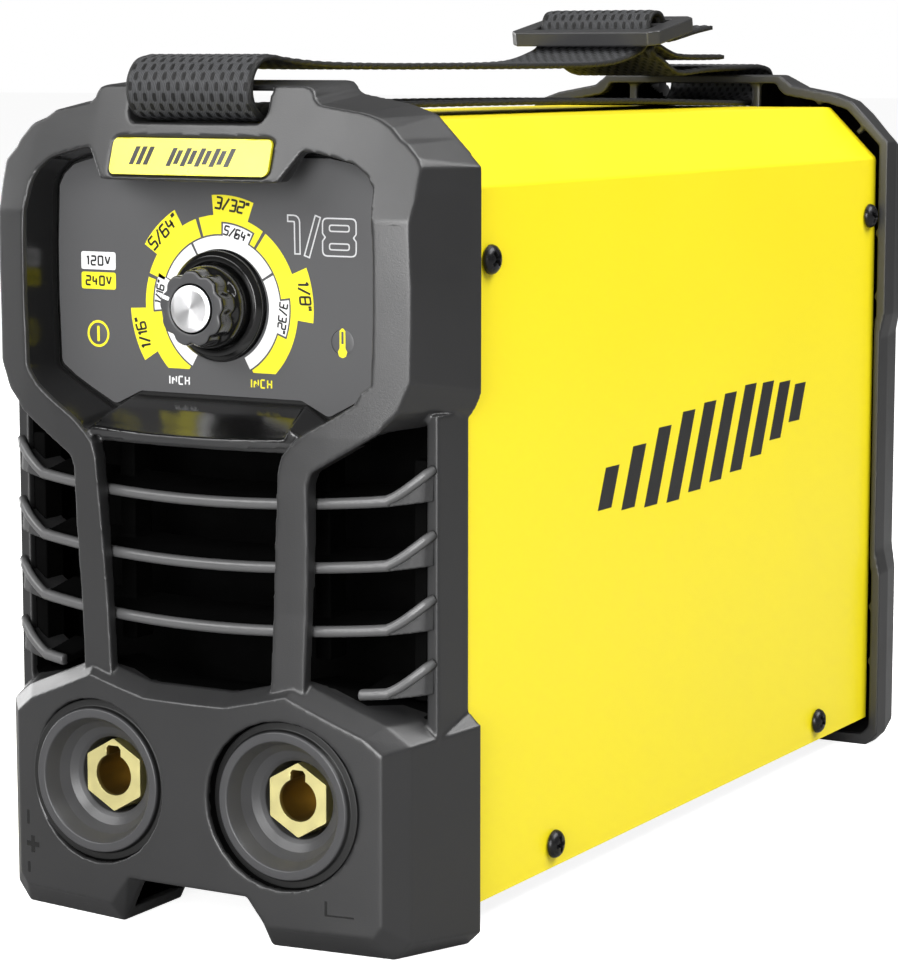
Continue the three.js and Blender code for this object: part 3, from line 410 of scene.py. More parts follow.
STEEL = finish_of("pressed_steel", (0.55, 0.55, 0.56), 0.4, metal=1.0, grain=0.12, grain_mm=0.3, mottle=0.07, mottle_mm=5)
BOARD = finish_of("solder_mask", (0.012, 0.11, 0.04), 0.35, grain=0.2, grain_mm=0.8, mottle=0.25, mottle_mm=2.5)
COPPER = finish_of("bare_copper", (0.78, 0.36, 0.17), 0.3, metal=1.0, grain=0.25, grain_mm=0.8, mottle=0.1, mottle_mm=3)
HEATSINK = finish_of("extruded_alu", (0.70, 0.70, 0.72), 0.42, metal=1.0, grain=0.2, grain_mm=0.4, mottle=0.06, mottle_mm=7)
FERRITE = finish_of("ferrite", (0.045, 0.045, 0.05), 0.7, grain=0.4, grain_mm=0.4, mottle=0.15, mottle_mm=3)
CHIP = finish_of("epoxy_black", (0.018, 0.018, 0.018), 0.5, grain=0.2, grain_mm=0.2, mottle=0.2, mottle_mm=3)
BARRIER = finish_of("pressed_board", (0.003, 0.003, 0.003), 0.95, grain=0.3, grain_mm=0.6, mottle=0.3, mottle_mm=4, specular=0.0)
SLEEVE = finish_of("capacitor_sleeve", (0.015, 0.025, 0.09), 0.28, grain=0.06, grain_mm=0.5, mottle=0.1, mottle_mm=9)
PLATE = finish_of("brushed_plate", (0.60, 0.60, 0.61), 0.38, metal=1.0, grain=0.1, grain_mm=0.2, mottle=0.05, mottle_mm=4)
SMOKE = finish_of("smoked_lens", (0.069, 0.069, 0.0713), 0.47, grain=0.2, grain_mm=0.14, mottle=0.04, mottle_mm=2)



def between(m, v, lo, hi, soft):
    """1 where v lies between lo and hi, fading over soft."""
    out = None
    for at, sign in ((lo, 1), (hi, -1)):
        if at is None:
            continue
        n = node(m, "ShaderNodeMapRange")
        m.node_tree.links.new(v, n.inputs["Value"])
        n.inputs["From Min"].default_value = at - soft / 2 if sign > 0 else at + soft / 2
        n.inputs["From Max"].default_value = at + soft / 2 if sign > 0 else at - soft / 2
        out = n.outputs["Result"] if out is None else math_node(m, "MULTIPLY", out, n.outputs["Result"])
    return out


def product(m, *factors):
    out = factors[0]
    for f in factors[1:]:
        out = math_node(m, "MULTIPLY", out, f)
    return out


def radius_from(m, u, v, cu, cv):
    du, dv = math_node(m, "SUBTRACT", u, cu), math_node(m, "SUBTRACT", v, cv)
    return math_node(m, "SQRT", math_node(m, "ADD", math_node(m, "MULTIPLY", du, du), math_node(m, "MULTIPLY", dv, dv)))


# front moulding: polished black recess; painted shade inside the case, behind the louvre window and in the gaps round
# the socket cups
x, y, z = axes_of(CASE)
ax = math_node(CASE, "ABSOLUTE", x)
bow = math_node(CASE, "DIVIDE", math_node(CASE, "MULTIPLY", x, x), 400.0)
lean = math_node(CASE, "MULTIPLY", math_node(CASE, "MAXIMUM", math_node(CASE, "SUBTRACT", z, 163.5), 0.0), 0.32)
depth = math_node(CASE, "SUBTRACT", math_node(CASE, "SUBTRACT", y, bow), lean)
overlay(CASE, product(CASE, between(CASE, ax, None, 47.6, 0.2), between(CASE, z, 114.5, 178.9, 0.2), between(CASE, depth, 1.25, None, 0.4)), (0.004, 0.004, 0.004), 0.12)
overlay(CASE, product(CASE, between(CASE, ax, None, 54.4, 0.3), between(CASE, z, 3.0, 182.0, 0.3), between(CASE, math_node(CASE, "ADD", ax, z), None, 228.5, 0.3), between(CASE, y, 16.0, None, 4.0)), (0.004, 0.004, 0.004), 0.8)
overlay(CASE, product(CASE, between(CASE, ax, None, 53.6, 0.3), between(CASE, z, 58.0, 112.0, 0.5), between(CASE, depth, 5.4, None, 1.0)), (0.004, 0.004, 0.004), 0.7)
block_depth = math_node(CASE, "SUBTRACT", y, math_node(CASE, "DIVIDE", math_node(CASE, "MULTIPLY", x, x), 600.0))
ring_r = radius_from(CASE, ax, z, 25.3, 33.3)
overlay(CASE, product(CASE, between(CASE, ring_r, None, 19.9, 0.25), between(CASE, block_depth, 0.75, None, 0.35)), (0.003, 0.003, 0.003), 0.5)

# cups: the outer flange sits in the shadow gap
x, y, z = axes_of(SOCKET)
overlay(SOCKET, product(SOCKET, between(SOCKET, radius_from(SOCKET, math_node(SOCKET, "ABSOLUTE", x), z, 25.3, 33.3), 16.85, None, 0.2), between(SOCKET, y, 1.7, None, 0.4)), (0.003, 0.003, 0.003), 0.5)

# brass: painted shade, the bore deep inside painted dark and dull
x, y, z = axes_of(BRASS)
overlay(BRASS, product(BRASS, between(BRASS, radius_from(BRASS, math_node(BRASS, "ABSOLUTE", x), z, 25.3, 33.3), None, 7.0, 0.2), between(BRASS, y, 9.0, 26.0, 1.2)), (0.26, 0.18, 0.05), 0.45)

# slats: painted shade behind their front edges, so only the front edges catch the light
x, y, z = axes_of(SLAT)
ax = math_node(SLAT, "ABSOLUTE", x)
d = math_node(SLAT, "SUBTRACT", y, math_node(SLAT, "DIVIDE", math_node(SLAT, "MULTIPLY", x, x), 400.0))
wing = between(SLAT, ax, 46.0, 52.0, 4.0)
limit = math_node(SLAT, "SUBTRACT", d, math_node(SLAT, "MULTIPLY", wing, 5.0))
overlay(SLAT, between(SLAT, limit, 6.9, None, 1.2), (0.004, 0.004, 0.004), 0.75)
overlay(SLAT, between(SLAT, y, 16.4, None, 0.4), (0.004, 0.004, 0.004), 0.75)

# rear moulding: painted shade inside the rim, behind the edges of its ribs
x, y, z = axes_of(CASE_R)
ax = math_node(CASE_R, "ABSOLUTE", x)
taper = math_node(CASE_R, "MAXIMUM", math_node(CASE_R, "SUBTRACT", y, 270.0), 0.0)
side = math_node(CASE_R, "ADD", ax, math_node(CASE_R, "MULTIPLY", taper, 0.34))
slant = math_node(CASE_R, "ADD", math_node(CASE_R, "ADD", ax, z), math_node(CASE_R, "MULTIPLY", taper, 0.58))
roof = math_node(CASE_R, "ADD", z, math_node(CASE_R, "MULTIPLY", taper, 0.34))
overlay(CASE_R, product(CASE_R, between(CASE_R, side, None, 59.0, 0.2), between(CASE_R, slant, None, 233.2, 0.3), between(CASE_R, z, 2.8, None, 0.2), between(CASE_R, roof, None, 185.6, 0.2), between(CASE_R, y, 265.9, 285.6, 0.7)), (0.004, 0.004, 0.004), 0.8)

# cover: painted shade, the inside painted near black and dull
x, y, z = axes_of(YELLOW)
ax = math_node(YELLOW, "ABSOLUTE", x)
overlay(YELLOW, product(YELLOW, between(YELLOW, ax, None, 57.0, 0.1), between(YELLOW, z, None, 183.7, 0.1), between(YELLOW, math_node(YELLOW, "ADD", ax, z), None, 226.8, 0.1)), (0.012, 0.012, 0.012), 0.7)

# knob: satin face, polished sides
x, y, z = axes_of(KNOB)
overlay(KNOB, between(KNOB, y, 5.15, None, 0.2), (0.008, 0.008, 0.008), 0.11)

# painted shade: a dull black without reflection for faces deep inside the pieces
PAINTED_SHADE = finish_of("painted_shade_black", (0.003, 0.003, 0.003), 0.95, mottle=0.3, mottle_mm=5, rough_var=0.03, specular=0.0, grain=0.1)


def paint_shade(ob, test):
    """Paints the faces deep inside a piece dull black as painted shade."""
    me = ob.data
    n = len(me.polygons)
    c = np.empty(n * 3)
    me.polygons.foreach_get("center", c)
    c = c.reshape(-1, 3) / MM
    c[:, 1] += 145.0
    me.materials.append(PAINTED_SHADE)
    me.polygons.foreach_set("material_index", test(np.abs(c[:, 0]), c[:, 1], c[:, 2]).astype(np.int32))
    me.update()
    return ob


# painted shade: faces inside the case, behind the louvre window and in the gaps round the socket cups
def front_shade_faces(x, y, z):
    inside = (x < 54.5) & (z > 3.2) & (z < 182) & (x + z < 228.5) & (y > 17.8)
    window = (x < 53.8) & (z > 56) & (z < 112.5) & (y - x * x / 400 > 6.3)
    gap = (np.hypot(x - 25.3, z - 33.3) < 19.8) & (y - x * x / 600 > 1.3)
    return inside | window | gap


# painted shade: the slats behind their front edges and at the back
def slat_shade_faces(x, y, z):
    return (y - x * x / 400 - 5.0 * np.clip((x - 46.0) / 4.0, 0, 1) > 7.2) | (y > 16.6)


# painted shade: faces inside the rear rim
def rear_shade_faces(x, y, z):
    k = np.clip(y - 270.0, 0, None)
    top = np.where(x > 29.5, 188.0 - 0.17 * (x - 30), 191.4) - 0.34 * k
    return (x < 59.0 - 0.34 * k) & (x + z < 233.2 - 0.58 * k) & (z > 3.2) & (z < top) & (y > 266.2) & (y < 285.5)


# ------------------------------------------------------------------ front moulding and slats
XS = np.linspace(-65, 65, 15)
LX = np.linspace(-52, 52, 11)


def front_fix(q):
    """Turns the faceted bow of the front face into a true curve."""
    x, y, z = q[:, 0], q[:, 1], q[:, 2]
    k = np.where(z > 60, 1 / 400.0, 1 / 600.0)
    d = k * (x * x - np.interp(x, XS, XS * XS))
    fade = np.clip((13.0 - y) / 5.0, 0, 1)
    q[:, 1] = y + d * fade
    return q


def slat_fix(q):
    x, y, z = q[:, 0], q[:, 1], q[:, 2]
    inside = (np.abs(x) <= 52).astype(float)
    d = (x * x - np.interp(x, LX, LX * LX)) * inside
    fade = np.clip((13.5 - y) / 4.0, 0, 1)
    q[:, 1] = y + d / 400.0 * fade
    q[:, 2] = z + d * 3.4 / 57.0**2
    return q


piece(paint_shade(softened("front_moulding", NODES["front_bezel"], CASE, 0.36, 9, 196000, front_fix), front_shade_faces), "case_plastic", "front_bezel")

def slat_nose(x):
    """Depth of a slat's front edge at x."""
    x = abs(x)
    if x <= 52:
        return x * x / 400 + 5.05
    if x <= 54.6:
        return 11.81 + (x - 52) / 2.6 * 1.2
    return 13.01 + (x - 54.6) / 2.0 * 2.2


def slat(zc, x0, x1):
    """The plate of a slat from x0 to x1 with a fully rounded nose."""
    st = []
    for x in np.linspace(x0, x1, max(12, int((x1 - x0) / 1.3))):
        y0, zz, h = slat_nose(x), zc + 3.4 * (x / 57.0) ** 2, 1.28
        yb = 23.6 if abs(x) < 53.2 else 15.9
        sec = [(x, y0 + h - h * math.sin(a), zz + h * math.cos(a)) for a in np.linspace(0, math.pi, 13)]
        sec += [(x, y0 + 2.6, zz - h + 0.02), (x, yb, zz - h + 0.1 * (yb - 5)), (x, yb, zz + h - 0.5 + 0.1 * (yb - 5)), (x, y0 + 4.2, zz + h - 0.35)]
        st.append(sec)
    return rings("slat", st, SLAT, angle=40)


def lip(zc, s):
    """The end of a slat sweeps up to the post as a rounded lip."""
    path = []
    for t in np.linspace(0, 1, 26):
        x = 44.5 + 11.6 * t
        base = zc + 3.4 * (x / 57.0) ** 2
        rise = 6.1 * np.clip((x - 46.5) / 9.6, 0, 1) ** 1.35
        path.append((s * x, slat_nose(x) + 1.15 + 0.35 * t, base + rise + 0.2))
    st = []
    for i, (x, y, z) in enumerate(path):
        a, b = path[max(0, i - 1)], path[min(len(path) - 1, i + 1)]
        d = Vector((b[0] - a[0], b[1] - a[1], b[2] - a[2])).normalized()
        u = Vector((0, 1, 0)).cross(d).normalized()
        v = d.cross(u)
        r = 1.15
        st.append([tuple(Vector((x, y, z)) + u * r * math.cos(q) + v * r * math.sin(q)) for q in np.linspace(0, 2 * math.pi, 16, endpoint=False)])
    return rings("lip", st, SLAT, angle=60)


def cheek(zc, s):
    """The flat face under a lip."""
    top, low = [], []
    for t in np.linspace(0, 1, 16):
        x = 46.0 + 10.1 * t
        base = zc + 3.4 * (x / 57.0) ** 2
        rise = 6.1 * np.clip((x - 46.5) / 9.6, 0, 1) ** 1.35
        top.append((x, slat_nose(x) + 1.3 + 0.35 * t, base + rise + 0.3))
        low.append((x, slat_nose(x) + 0.9, base - 1.28 + 0.5 * t))
    st = []
    for a, b in zip(top, low):
        back = 23.4 if a[0] < 53.0 else 15.9
        st.append([(s * a[0], a[1], a[2]), (s * a[0], max(back, a[1] + 0.4), a[2] + 0.2), (s * b[0], max(back, b[1] + 0.4), b[2]), (s * b[0], b[1], b[2])])
    return rings("cheek", st, SLAT, angle=40)


insert, cheeks = [], []
for k in range(4):
    zc = 99.75 - 14.3 * k
    if k < 3:
        insert.append(slat(zc, -47.2, 47.2))
    else:
        insert += [slat(zc, -47.2, -40.4), slat(zc, 40.4, 47.2)]
    for s in (-1, 1):
        insert.append(lip(zc, s))
        cheeks.append(cheek(zc, s))
for x, w, z0 in ((-26.6, 2.0, 64), (26.6, 2.0, 64), (-52, 1.6, 57.2), (52, 1.6, 57.2)):
    insert.append(prism_y("riser", [rounded(x - w, x + w, z0, 110.8, 0.5)], 17.1, 23.8, SLAT))
insert = joined("louvre_raw", insert)
insert.data.materials.clear()
insert.data.materials.append(SLAT)
piece(paint_shade(softened("louvre_insert", insert, SLAT, 0.28, 2, 190000), slat_shade_faces), "louvre_plastic", "louvre_grille")
bpy.data.objects.remove(insert)
raw = joined("cheek_raw", cheeks)
raw.data.materials.clear()
raw.data.materials.append(CHEEK)
piece(softened("louvre_cheeks", raw, CHEEK, 0.25, 2, 60000), "louvre_plastic", "louvre_grille")
bpy.data.objects.remove(raw)
piece(paint_shade(softened("rear_moulding", NODES["rear_bezel"], CASE_R, 0.5, 4, 180000), rear_shade_faces), "case_plastic", "rear_bezel")

# ------------------------------------------------------------------ control panel
PY = 17.0            # front of the panel
LY = 16.35           # front of the label film
KZ = 142.8
LAMPS = ((-33.6, 135.0), (32.6, 135.9))
PANEL_OUT = fillet(ring([(26, 117.2), (47, 121.6), (48.4, 128), (48.4, 171), (44, 176.4), (31, 177.6)]), 1.5)
piece(bevel(prism_y("panel", [PANEL_OUT, circle(0, KZ, 5.2, 48), *[circle(x, z, 2.3, 32) for x, z in LAMPS]], PY, PY + 2.2, PANEL), 0.25), "panel_plastic", "control_panel")
LABEL_OUT = fillet(ring([(21.8, 122.4), (28.9, 119), (36.2, 122.8), (40.2, 125.1), (44.1, 128), (44.6, 143), (44.6, 156), (44, 169), (42.6, 171.6), (39.8, 173.9), (34.6, 175.3), (29.4, 176.2)]), 2.2, 5)
piece(bevel(prism_y("label", [LABEL_OUT, circle(0, KZ, 12.8, 96), *[circle(x, z, 2.9, 40) for x, z in LAMPS]], LY, LY + 0.4, LABEL), 0.1, 2), "label_film", "control_label")


def on_label(u, v, d):
    return (u, LY - d, v)


RING = (0.45, 142.6)


def polar(r, cw):
    a = math.radians(cw)
    return (RING[0] + r * math.sin(a), RING[1] + r * math.cos(a))


def arc(r, a0, a1, n=None):
    n = n or max(3, int(abs(a1 - a0) / 2.5))
    return [polar(r, a0 + (a1 - a0) * i / n) for i in range(n + 1)]


def sector(r0, r1, a0, a1, tab=None):
    """Part of a ring, with an optional raised tab (outer radius, start, end)."""
    outer = []
    if tab:
        tr, t0, t1 = tab
        outer = (arc(r1, a0, t0) if t0 > a0 else []) + arc(tr, t0, t1) + (arc(r1, t1, a1) if t1 < a1 else [])
    else:
        outer = arc(r1, a0, a1)
    return [outer + arc(r0, a1, a0)]


def ring_gap(r0, r1, a0, a1, tab=None, notch=None):
    """A ring sector whose inner edge steps outwards round the tab of the ring inside it."""
    shape = sector(r0, r1, a0, a1, tab)[0]
    if notch:
        nr, n0, n1 = notch
        outer = shape[: len(shape) - len(arc(r0, a1, a0))]
        inner = []
        if a1 > n1:
            inner += arc(r0, a1, n1)
        inner += arc(nr, min(n1, a1), max(n0, a0))
        if a0 < n0:
            inner += arc(r0, n0, a0)
        shape = outer + inner
    return [shape]


yellow = [
    ring_gap(16.3, 20.6, -149, -73, (24.8, -122, -93), (18.6, -96, -60)),
    ring_gap(16.3, 20.6, -70.5, -18.8, (24.7, -57, -30), None),
    ring_gap(16.3, 20.6, -16.2, 33.6, (25.1, -5, 21), (19.1, 1, 29)),
    ring_gap(16.3, 20.6, 36, 149.5, (24.7, 67.5, 96.5), (18.7, 82, 111)),
]

def clip_low(shape, z0):
    """Cuts an outline off below z0."""
    out = []
    pts = shape[0]
    for i, p in enumerate(pts):
        q = pts[(i + 1) % len(pts)]
        if p[1] >= z0:
            out.append(p)
        if (p[1] >= z0) != (q[1] >= z0):
            t = (z0 - p[1]) / (q[1] - p[1])
            out.append((p[0] + t * (q[0] - p[0]), z0))
    return [out]


white = [
    sector(12.95, 15.9, -150, -70, (18.2, -94.5, -67.5)),
    sector(12.95, 15.9, -67.5 + 0.01, -30, None),
    sector(12.95, 15.9, -27.6, 59.6, (18.7, 2.5, 27.5)),
    sector(12.95, 15.9, 62, 151, (18.3, 83.5, 109.5)),
]
yellow = [clip_low(q, 128.0) for q in yellow]
white = [clip_low(q, 128.3) for q in white]


# plain squarish stroke lettering for the scale numbers
GLYPH = {
    "0": (0.62, [([(0, 0), (0.62, 0), (0.62, 1), (0, 1)], True)]),
    "1": (0.24, [([(0, 0.8), (0.2, 1), (0.2, 0)], False)]),
    "2": (0.6, [([(0, 1), (0.6, 1), (0.6, 0.5), (0, 0.5), (0, 0), (0.6, 0)], False)]),
    "3": (0.6, [([(0, 1), (0.6, 1), (0.6, 0), (0, 0)], False), ([(0.15, 0.5), (0.6, 0.5)], False)]),
    "4": (0.6, [([(0.05, 1), (0, 0.4), (0.6, 0.4)], False), ([(0.46, 0.75), (0.46, 0)], False)]),
    "5": (0.6, [([(0.6, 1), (0, 1), (0, 0.52), (0.6, 0.52), (0.6, 0), (0, 0)], False)]),
    "6": (0.6, [([(0.55, 1), (0, 1), (0, 0), (0.6, 0), (0.6, 0.52), (0, 0.52)], False)]),
    "8": (0.6, [([(0, 0), (0.6, 0), (0.6, 1), (0, 1)], True), ([(0, 0.5), (0.6, 0.5)], False)]),
    "/": (0.5, [([(0, -0.06), (0.5, 1.06)], False)]),
    '"': (0.22, [([(0, 0.72), (0, 1.02)], False), ([(0.2, 0.72), (0.2, 1.02)], False)]),
    "I": (0.0, [([(0, 0), (0, 1)], False)]),
    "N": (0.62, [([(0, 0), (0, 1), (0.62, 0), (0.62, 1)], False)]),
    "C": (0.58, [([(0.58, 1), (0, 1), (0, 0), (0.58, 0)], False)]),
    "H": (0.6, [([(0, 0), (0, 1)], False), ([(0.6, 0), (0.6, 1)], False), ([(0, 0.5), (0.6, 0.5)], False)]),
    "V": (0.62, [([(0, 1), (0.31, 0), (0.62, 1)], False)]),
}


def stroke(pts, w, closed):
    p = [np.array(q, float) for q in pts]
    m = len(p)
    left, right = [], []
    for i in range(m):
        a = p[i - 1] if (i or closed) else None
        b = p[(i + 1) % m] if (i < m - 1 or closed) else None
        n = []
        if a is not None:
            d = (p[i] - a) / max(1e-9, np.linalg.norm(p[i] - a))
            n.append(np.array((-d[1], d[0])))
        if b is not None:
            d = (b - p[i]) / max(1e-9, np.linalg.norm(b - p[i]))
            n.append(np.array((-d[1], d[0])))
        s = sum(n)
        s = s / max(1e-6, np.linalg.norm(s))
        k = w / 2 / max(0.5, float(s @ n[0]))
        left.append(tuple(p[i] + s * k))
        right.append(tuple(p[i] - s * k))
    if closed:
        return [left, right]
    return [left + right[::-1]]


def lettering(text, height, w, centre, turn=0.0, wide=1.0, gap=0.26, slant=0.0):
    """Outlines for a line of characters, centred, turned clockwise by turn degrees."""
    runs, x = [], 0.0
    for ch in text:
        gw, strokes = GLYPH[ch]
        for pts, closed in strokes:
            runs.append(([(x + u * wide, v) for u, v in pts], closed))
        x += gw * wide + gap
    total = x - gap
    a = math.radians(-turn)
    c, s = math.cos(a), math.sin(a)
    out = []
    for pts, closed in runs:
        q = [((u - total / 2 + slant * (v - 0.5)) * height, (v - 0.5) * height) for u, v in pts]
        q = fillet(q, height * 0.14, 3, closed)
        q = [(centre[0] + u * c - v * s, centre[1] + u * s + v * c) for u, v in q]
        out.append(stroke(q, w, closed))
    return out


T = 0.05
print_yellow = yellow + [[rounded(-38.2, -28.5, 145.3, 149.2, 0.6)]]
power = (-33.65, 135.0)
print_yellow += [[circle(*power, 3.1, 48), circle(*power, 2.55, 48)], [rounded(power[0] - 0.35, power[0] + 0.35, power[1] - 1.8, power[1] + 1.8, 0.3)]]
tx, tz = 32.6, 134.2
print_yellow += [[fillet([(tx - 0.75, tz + 0.4), (tx - 0.75, tz + 4.2), (tx - 0.2, tz + 4.8), (tx + 0.2, tz + 4.8), (tx + 0.75, tz + 4.2), (tx + 0.75, tz + 0.4), (tx + 1.2, tz - 0.4), (tx + 0.9, tz - 1.4), (tx, tz - 1.8), (tx - 0.9, tz - 1.4), (tx - 1.2, tz - 0.4)], 0.4),
                  rounded(tx - 0.3, tx + 0.3, tz + 1.3, tz + 4.1, 0.25)]]
print_yellow += lettering("INCH", 1.75, 0.34, (11.2, 125.6), 0, 1.0, 0.42)
print_white = white + [[rounded(-38.2, -28.5, 149.8, 153.9, 0.6)]]
print_white += lettering("INCH", 1.75, 0.34, (-11.1, 125.3), 0, 1.0, 0.42)
piece(slab("scale_yellow", print_yellow, on_label, -0.02, T, PRINT_Y, 40), "label_film")
piece(slab("scale_white", print_white, on_label, -0.02, T, PRINT_W, 40), "label_film")

dark = []
for text, r, cw, h in (('1/16"', 22.6, -107.5, 2.5), ('5/64"', 22.6, -43.5, 2.7), ('3/32"', 23.0, 8, 2.5), ('1/8"', 22.6, 82, 2.7)):
    turn = cw if abs(cw) < 60 else cw
    dark += lettering(text, h, 0.5, polar(r, cw), turn, 1.0, 0.24, 0.12)
for text, r, cw, h in (('1/16"', 16.9, -81, 1.9), ('5/64"', 17.0, 15, 2.0), ('3/32"', 16.6, 96.5, 2.0)):
    dark += lettering(text, h, 0.4, polar(r, cw), cw, 0.95, 0.24, 0.12)
dark += lettering("120V", 2.0, 0.44, (-33.35, 151.85), 0, 1.0, 0.38, 0.0)
dark += lettering("240V", 2.0, 0.44, (-33.35, 147.25), 0, 1.0, 0.36, 0.0)
piece(slab("scale_figures", dark, on_label, T - 0.01, T + 0.04, PRINT_K, 40), "label_film")


def outline_of(pts, w, line, closed=False):
    outer = stroke(pts, w, closed)
    inner_w = w - 2 * line
    if closed:
        a = stroke(pts, w, True)
        b = stroke(pts, inner_w, True)
        return [[a[0], b[0]], [b[1], a[1]]]
    p = [np.array(q, float) for q in pts]
    d0 = (p[1] - p[0]) / np.linalg.norm(p[1] - p[0])
    d1 = (p[-1] - p[-2]) / np.linalg.norm(p[-1] - p[-2])
    q = [tuple(p[0] + d0 * line)] + [tuple(v) for v in p[1:-1]] + [tuple(p[-1] - d1 * line)]
    return [[outer[0], stroke(q, inner_w, False)[0]]]


big = []
one = fillet([(18.3, 162.9), (20.9, 162.9), (21.0, 154.9)], 1.0, 4, False)
big += outline_of(one, 1.7, 0.32)
big += outline_of([(23.4, 154.4), (26.4, 163.6)], 1.7, 0.32)
eight_o = fillet([(27.4, 154.7), (36.4, 154.7), (36.4, 158.2), (35.7, 158.95), (36.4, 159.7), (36.4, 163.3), (27.4, 163.3), (27.4, 159.7), (28.1, 158.95), (27.4, 158.2)], [1.4, 1.4, 0.8, 0.4, 0.8, 1.4, 1.4, 0.8, 0.4, 0.8], 4)
eight_i = fillet([(27.72, 155.02), (36.08, 155.02), (36.08, 158.1), (35.3, 158.95), (36.08, 159.8), (36.08, 162.98), (27.72, 162.98), (27.72, 159.8), (28.5, 158.95), (27.72, 158.1)], [1.1, 1.1, 0.6, 0.3, 0.6, 1.1, 1.1, 0.6, 0.3, 0.6], 4)
big.append([eight_o, eight_i])
for z0, z1 in ((156.1, 157.75), (160.15, 161.8)):
    big.append([rounded(29.2, 34.6, z0, z1, 0.7), rounded(29.5, 34.3, z0 + 0.3, z1 - 0.3, 0.45)])
piece(slab("scale_large_figure", big, on_label, -0.02, T, PRINT_G, 40), "label_film")

for name, (x, z), cad in (("power_window", LAMPS[0], "power_lamp_lens"), ("thermal_window", LAMPS[1], "thermal_lamp_lens")):
    piece(lathe(name, [(0, LY - 0.02), (2.55, LY), (2.84, LY + 0.1), (2.84, LY + 0.6), (2.2, LY + 0.62), (2.2, LY + 4.6), (0, LY + 4.6)], x, z, SMOKE, 48), "lamp_lens", cad)

# badge on the leaning face, with a plain pattern of slanted bars
def on_badge(u, v, d):
    return (u, u * u / 400.0 + 0.32 * (v - 163.5) - d, v)


def badge(name, half, z0, z1, corner, d0, d1, mat):
    nz, nx = 18, 36
    rows = []
    for k in range(nz + 1):
        t = k / nz
        z = z0 + (z1 - z0) * (0.5 - 0.5 * math.cos(math.pi * t))
        edge = min(z - z0, z1 - z)
        inset = corner - math.sqrt(max(0.0, corner**2 - (corner - min(edge, corner)) ** 2))
        w = half - inset
        rows.append([(w * (2 * i / nx - 1), z) for i in range(nx + 1)])
    flat = [p for r in rows for p in r]
    n = len(flat)
    verts = [on_badge(u, v, d1) for u, v in flat] + [on_badge(u, v, d0) for u, v in flat]
    faces = []
    for k in range(nz):
        for i in range(nx):
            a = k * (nx + 1) + i
            faces.append((a, a + 1, a + nx + 2, a + nx + 1))
            faces.append((n + a, n + a + nx + 1, n + a + nx + 2, n + a + 1))
    rim = [i for i in range(nx + 1)] + [k * (nx + 1) + nx for k in range(1, nz + 1)] + [nz * (nx + 1) + i for i in range(nx - 1, -1, -1)] + [k * (nx + 1) for k in range(nz - 1, 0, -1)]
    for a, b in zip(rim, rim[1:] + rim[:1]):
        faces.append((a, n + a, n + b, b))
    return make(name, verts, faces, mat, 40)


piece(bevel(badge("badge", 21.2, 172.4, 180.5, 1.5, -0.6, 0.25, BADGE), 0.14, 3, 40), "badge_yellow", "badge_plate")


def bar(x, z0, z1, w, lean=0.35):
    s = lean * (z1 - z0)
    return [[(x, z0), (x + w, z0), (x + w + s, z1), (x + s, z1)]]


marks = [bar(-15.6 + 2.0 * i, 174.6, 178.6, 1.25) for i in range(3)]
marks += [bar(-5.2 + 1.9 * i, 174.9 if i % 2 else 174.4, 177.9 if i % 2 else 178.4, 1.2) for i in range(9)]
piece(slab("badge_bars", marks, on_badge, 0.24, 0.29, PRINT_K, 40), "badge_yellow")

# plus and minus moulded beside the sockets, and the mould line at the right foot, as thin black marks: painted shade
# standing in for their grooves
def on_block(u, v, d):
    return (u, u * u / 600.0 - d, v)


signs = [[[(-46.0, 13.4), (-44.8, 13.4), (-44.8, 14.8), (-43.4, 14.8), (-43.4, 16.0), (-44.8, 16.0), (-44.8, 17.4), (-46.0, 17.4), (-46.0, 16.0), (-47.4, 16.0), (-47.4, 14.8), (-46.0, 14.8)]], [rounded(-47.2, -46.4, 20.0, 23.4, 0.2)], [rounded(-47.2, -46.4, 8.4, 11.0, 0.2)], [[(36, 9.6), (43, 9.6), (43, 10.0), (36.6, 10.0), (36.6, 13.0), (36, 13.0)]]]
piece(slab("sign_marks_painted_shade", signs, on_block, -0.1, 0.03, GLOSS, 40), "case_plastic")

# ------------------------------------------------------------------ dial
def knob_mesh():
    n = 216
    turn = math.radians(20)

    def scallop(a):
        return 8.55 - 0.80 * (0.5 + 0.5 * math.cos(9 * (a - turn))) ** 2.2

    def row(fr, y, mixr=None, base=None):
        out = []
        for i in range(n):
            a = 2 * math.pi * i / n
            g = scallop(a) + fr
            r = g if mixr is None else g * (1 - mixr) + base * mixr
            out.append((r * math.sin(a), y, KZ + r * math.cos(a)))
        return out

    def plain(r, y):
        return [(r * math.sin(2 * math.pi * i / n), y, KZ + r * math.cos(2 * math.pi * i / n)) for i in range(n)]

    st = [plain(3.2, 15), plain(3.2, 7.6), plain(5.5, 7.5), plain(5.6, 5.3), plain(5.75, 5.0), plain(5.95, 4.9), plain(6.8, 4.9), row(-0.75, 4.9), row(-0.42, 4.96), row(-0.18, 5.12), row(-0.04, 5.38), row(0, 5.7),
          row(0, 7.5), row(0, 9.3), row(0, 9.8, 0.25, 8.9), row(0, 10.2, 0.75, 9.0), plain(9.12, 10.6), plain(9.32, 11.2), plain(9.42, 12.2), plain(9.5, 14.4), plain(9.42, 14.75), plain(9.2, 14.9), plain(3.5, 14.95)]
    return rings("dial_knob", st, KNOB, angle=38, loop=True)


piece(knob_mesh(), "knob_plastic", "knob", body="dial")
cap = lathe("dial_cap", fillet([(0, 4.55), (4.3, 4.58), (5.25, 4.75), (5.35, 5.35), (4.9, 5.4), (0, 5.4)], 0.16, 4, True, skip=(0, 5)), 0, KZ, ZINC, 144)
piece(cap, "spun_aluminium", "knob_cap", body="dial")
SPUN = finish_of("spun_aluminium", (0.95, 0.95, 0.96), 0.34, metal=1.0, mottle=0.02, mottle_mm=3, rough_var=0.02, aniso=0.9)
nt = SPUN.node_tree
tan = nt.nodes.new("ShaderNodeTangent")
tan.direction_type = "RADIAL"
tan.axis = "Y"
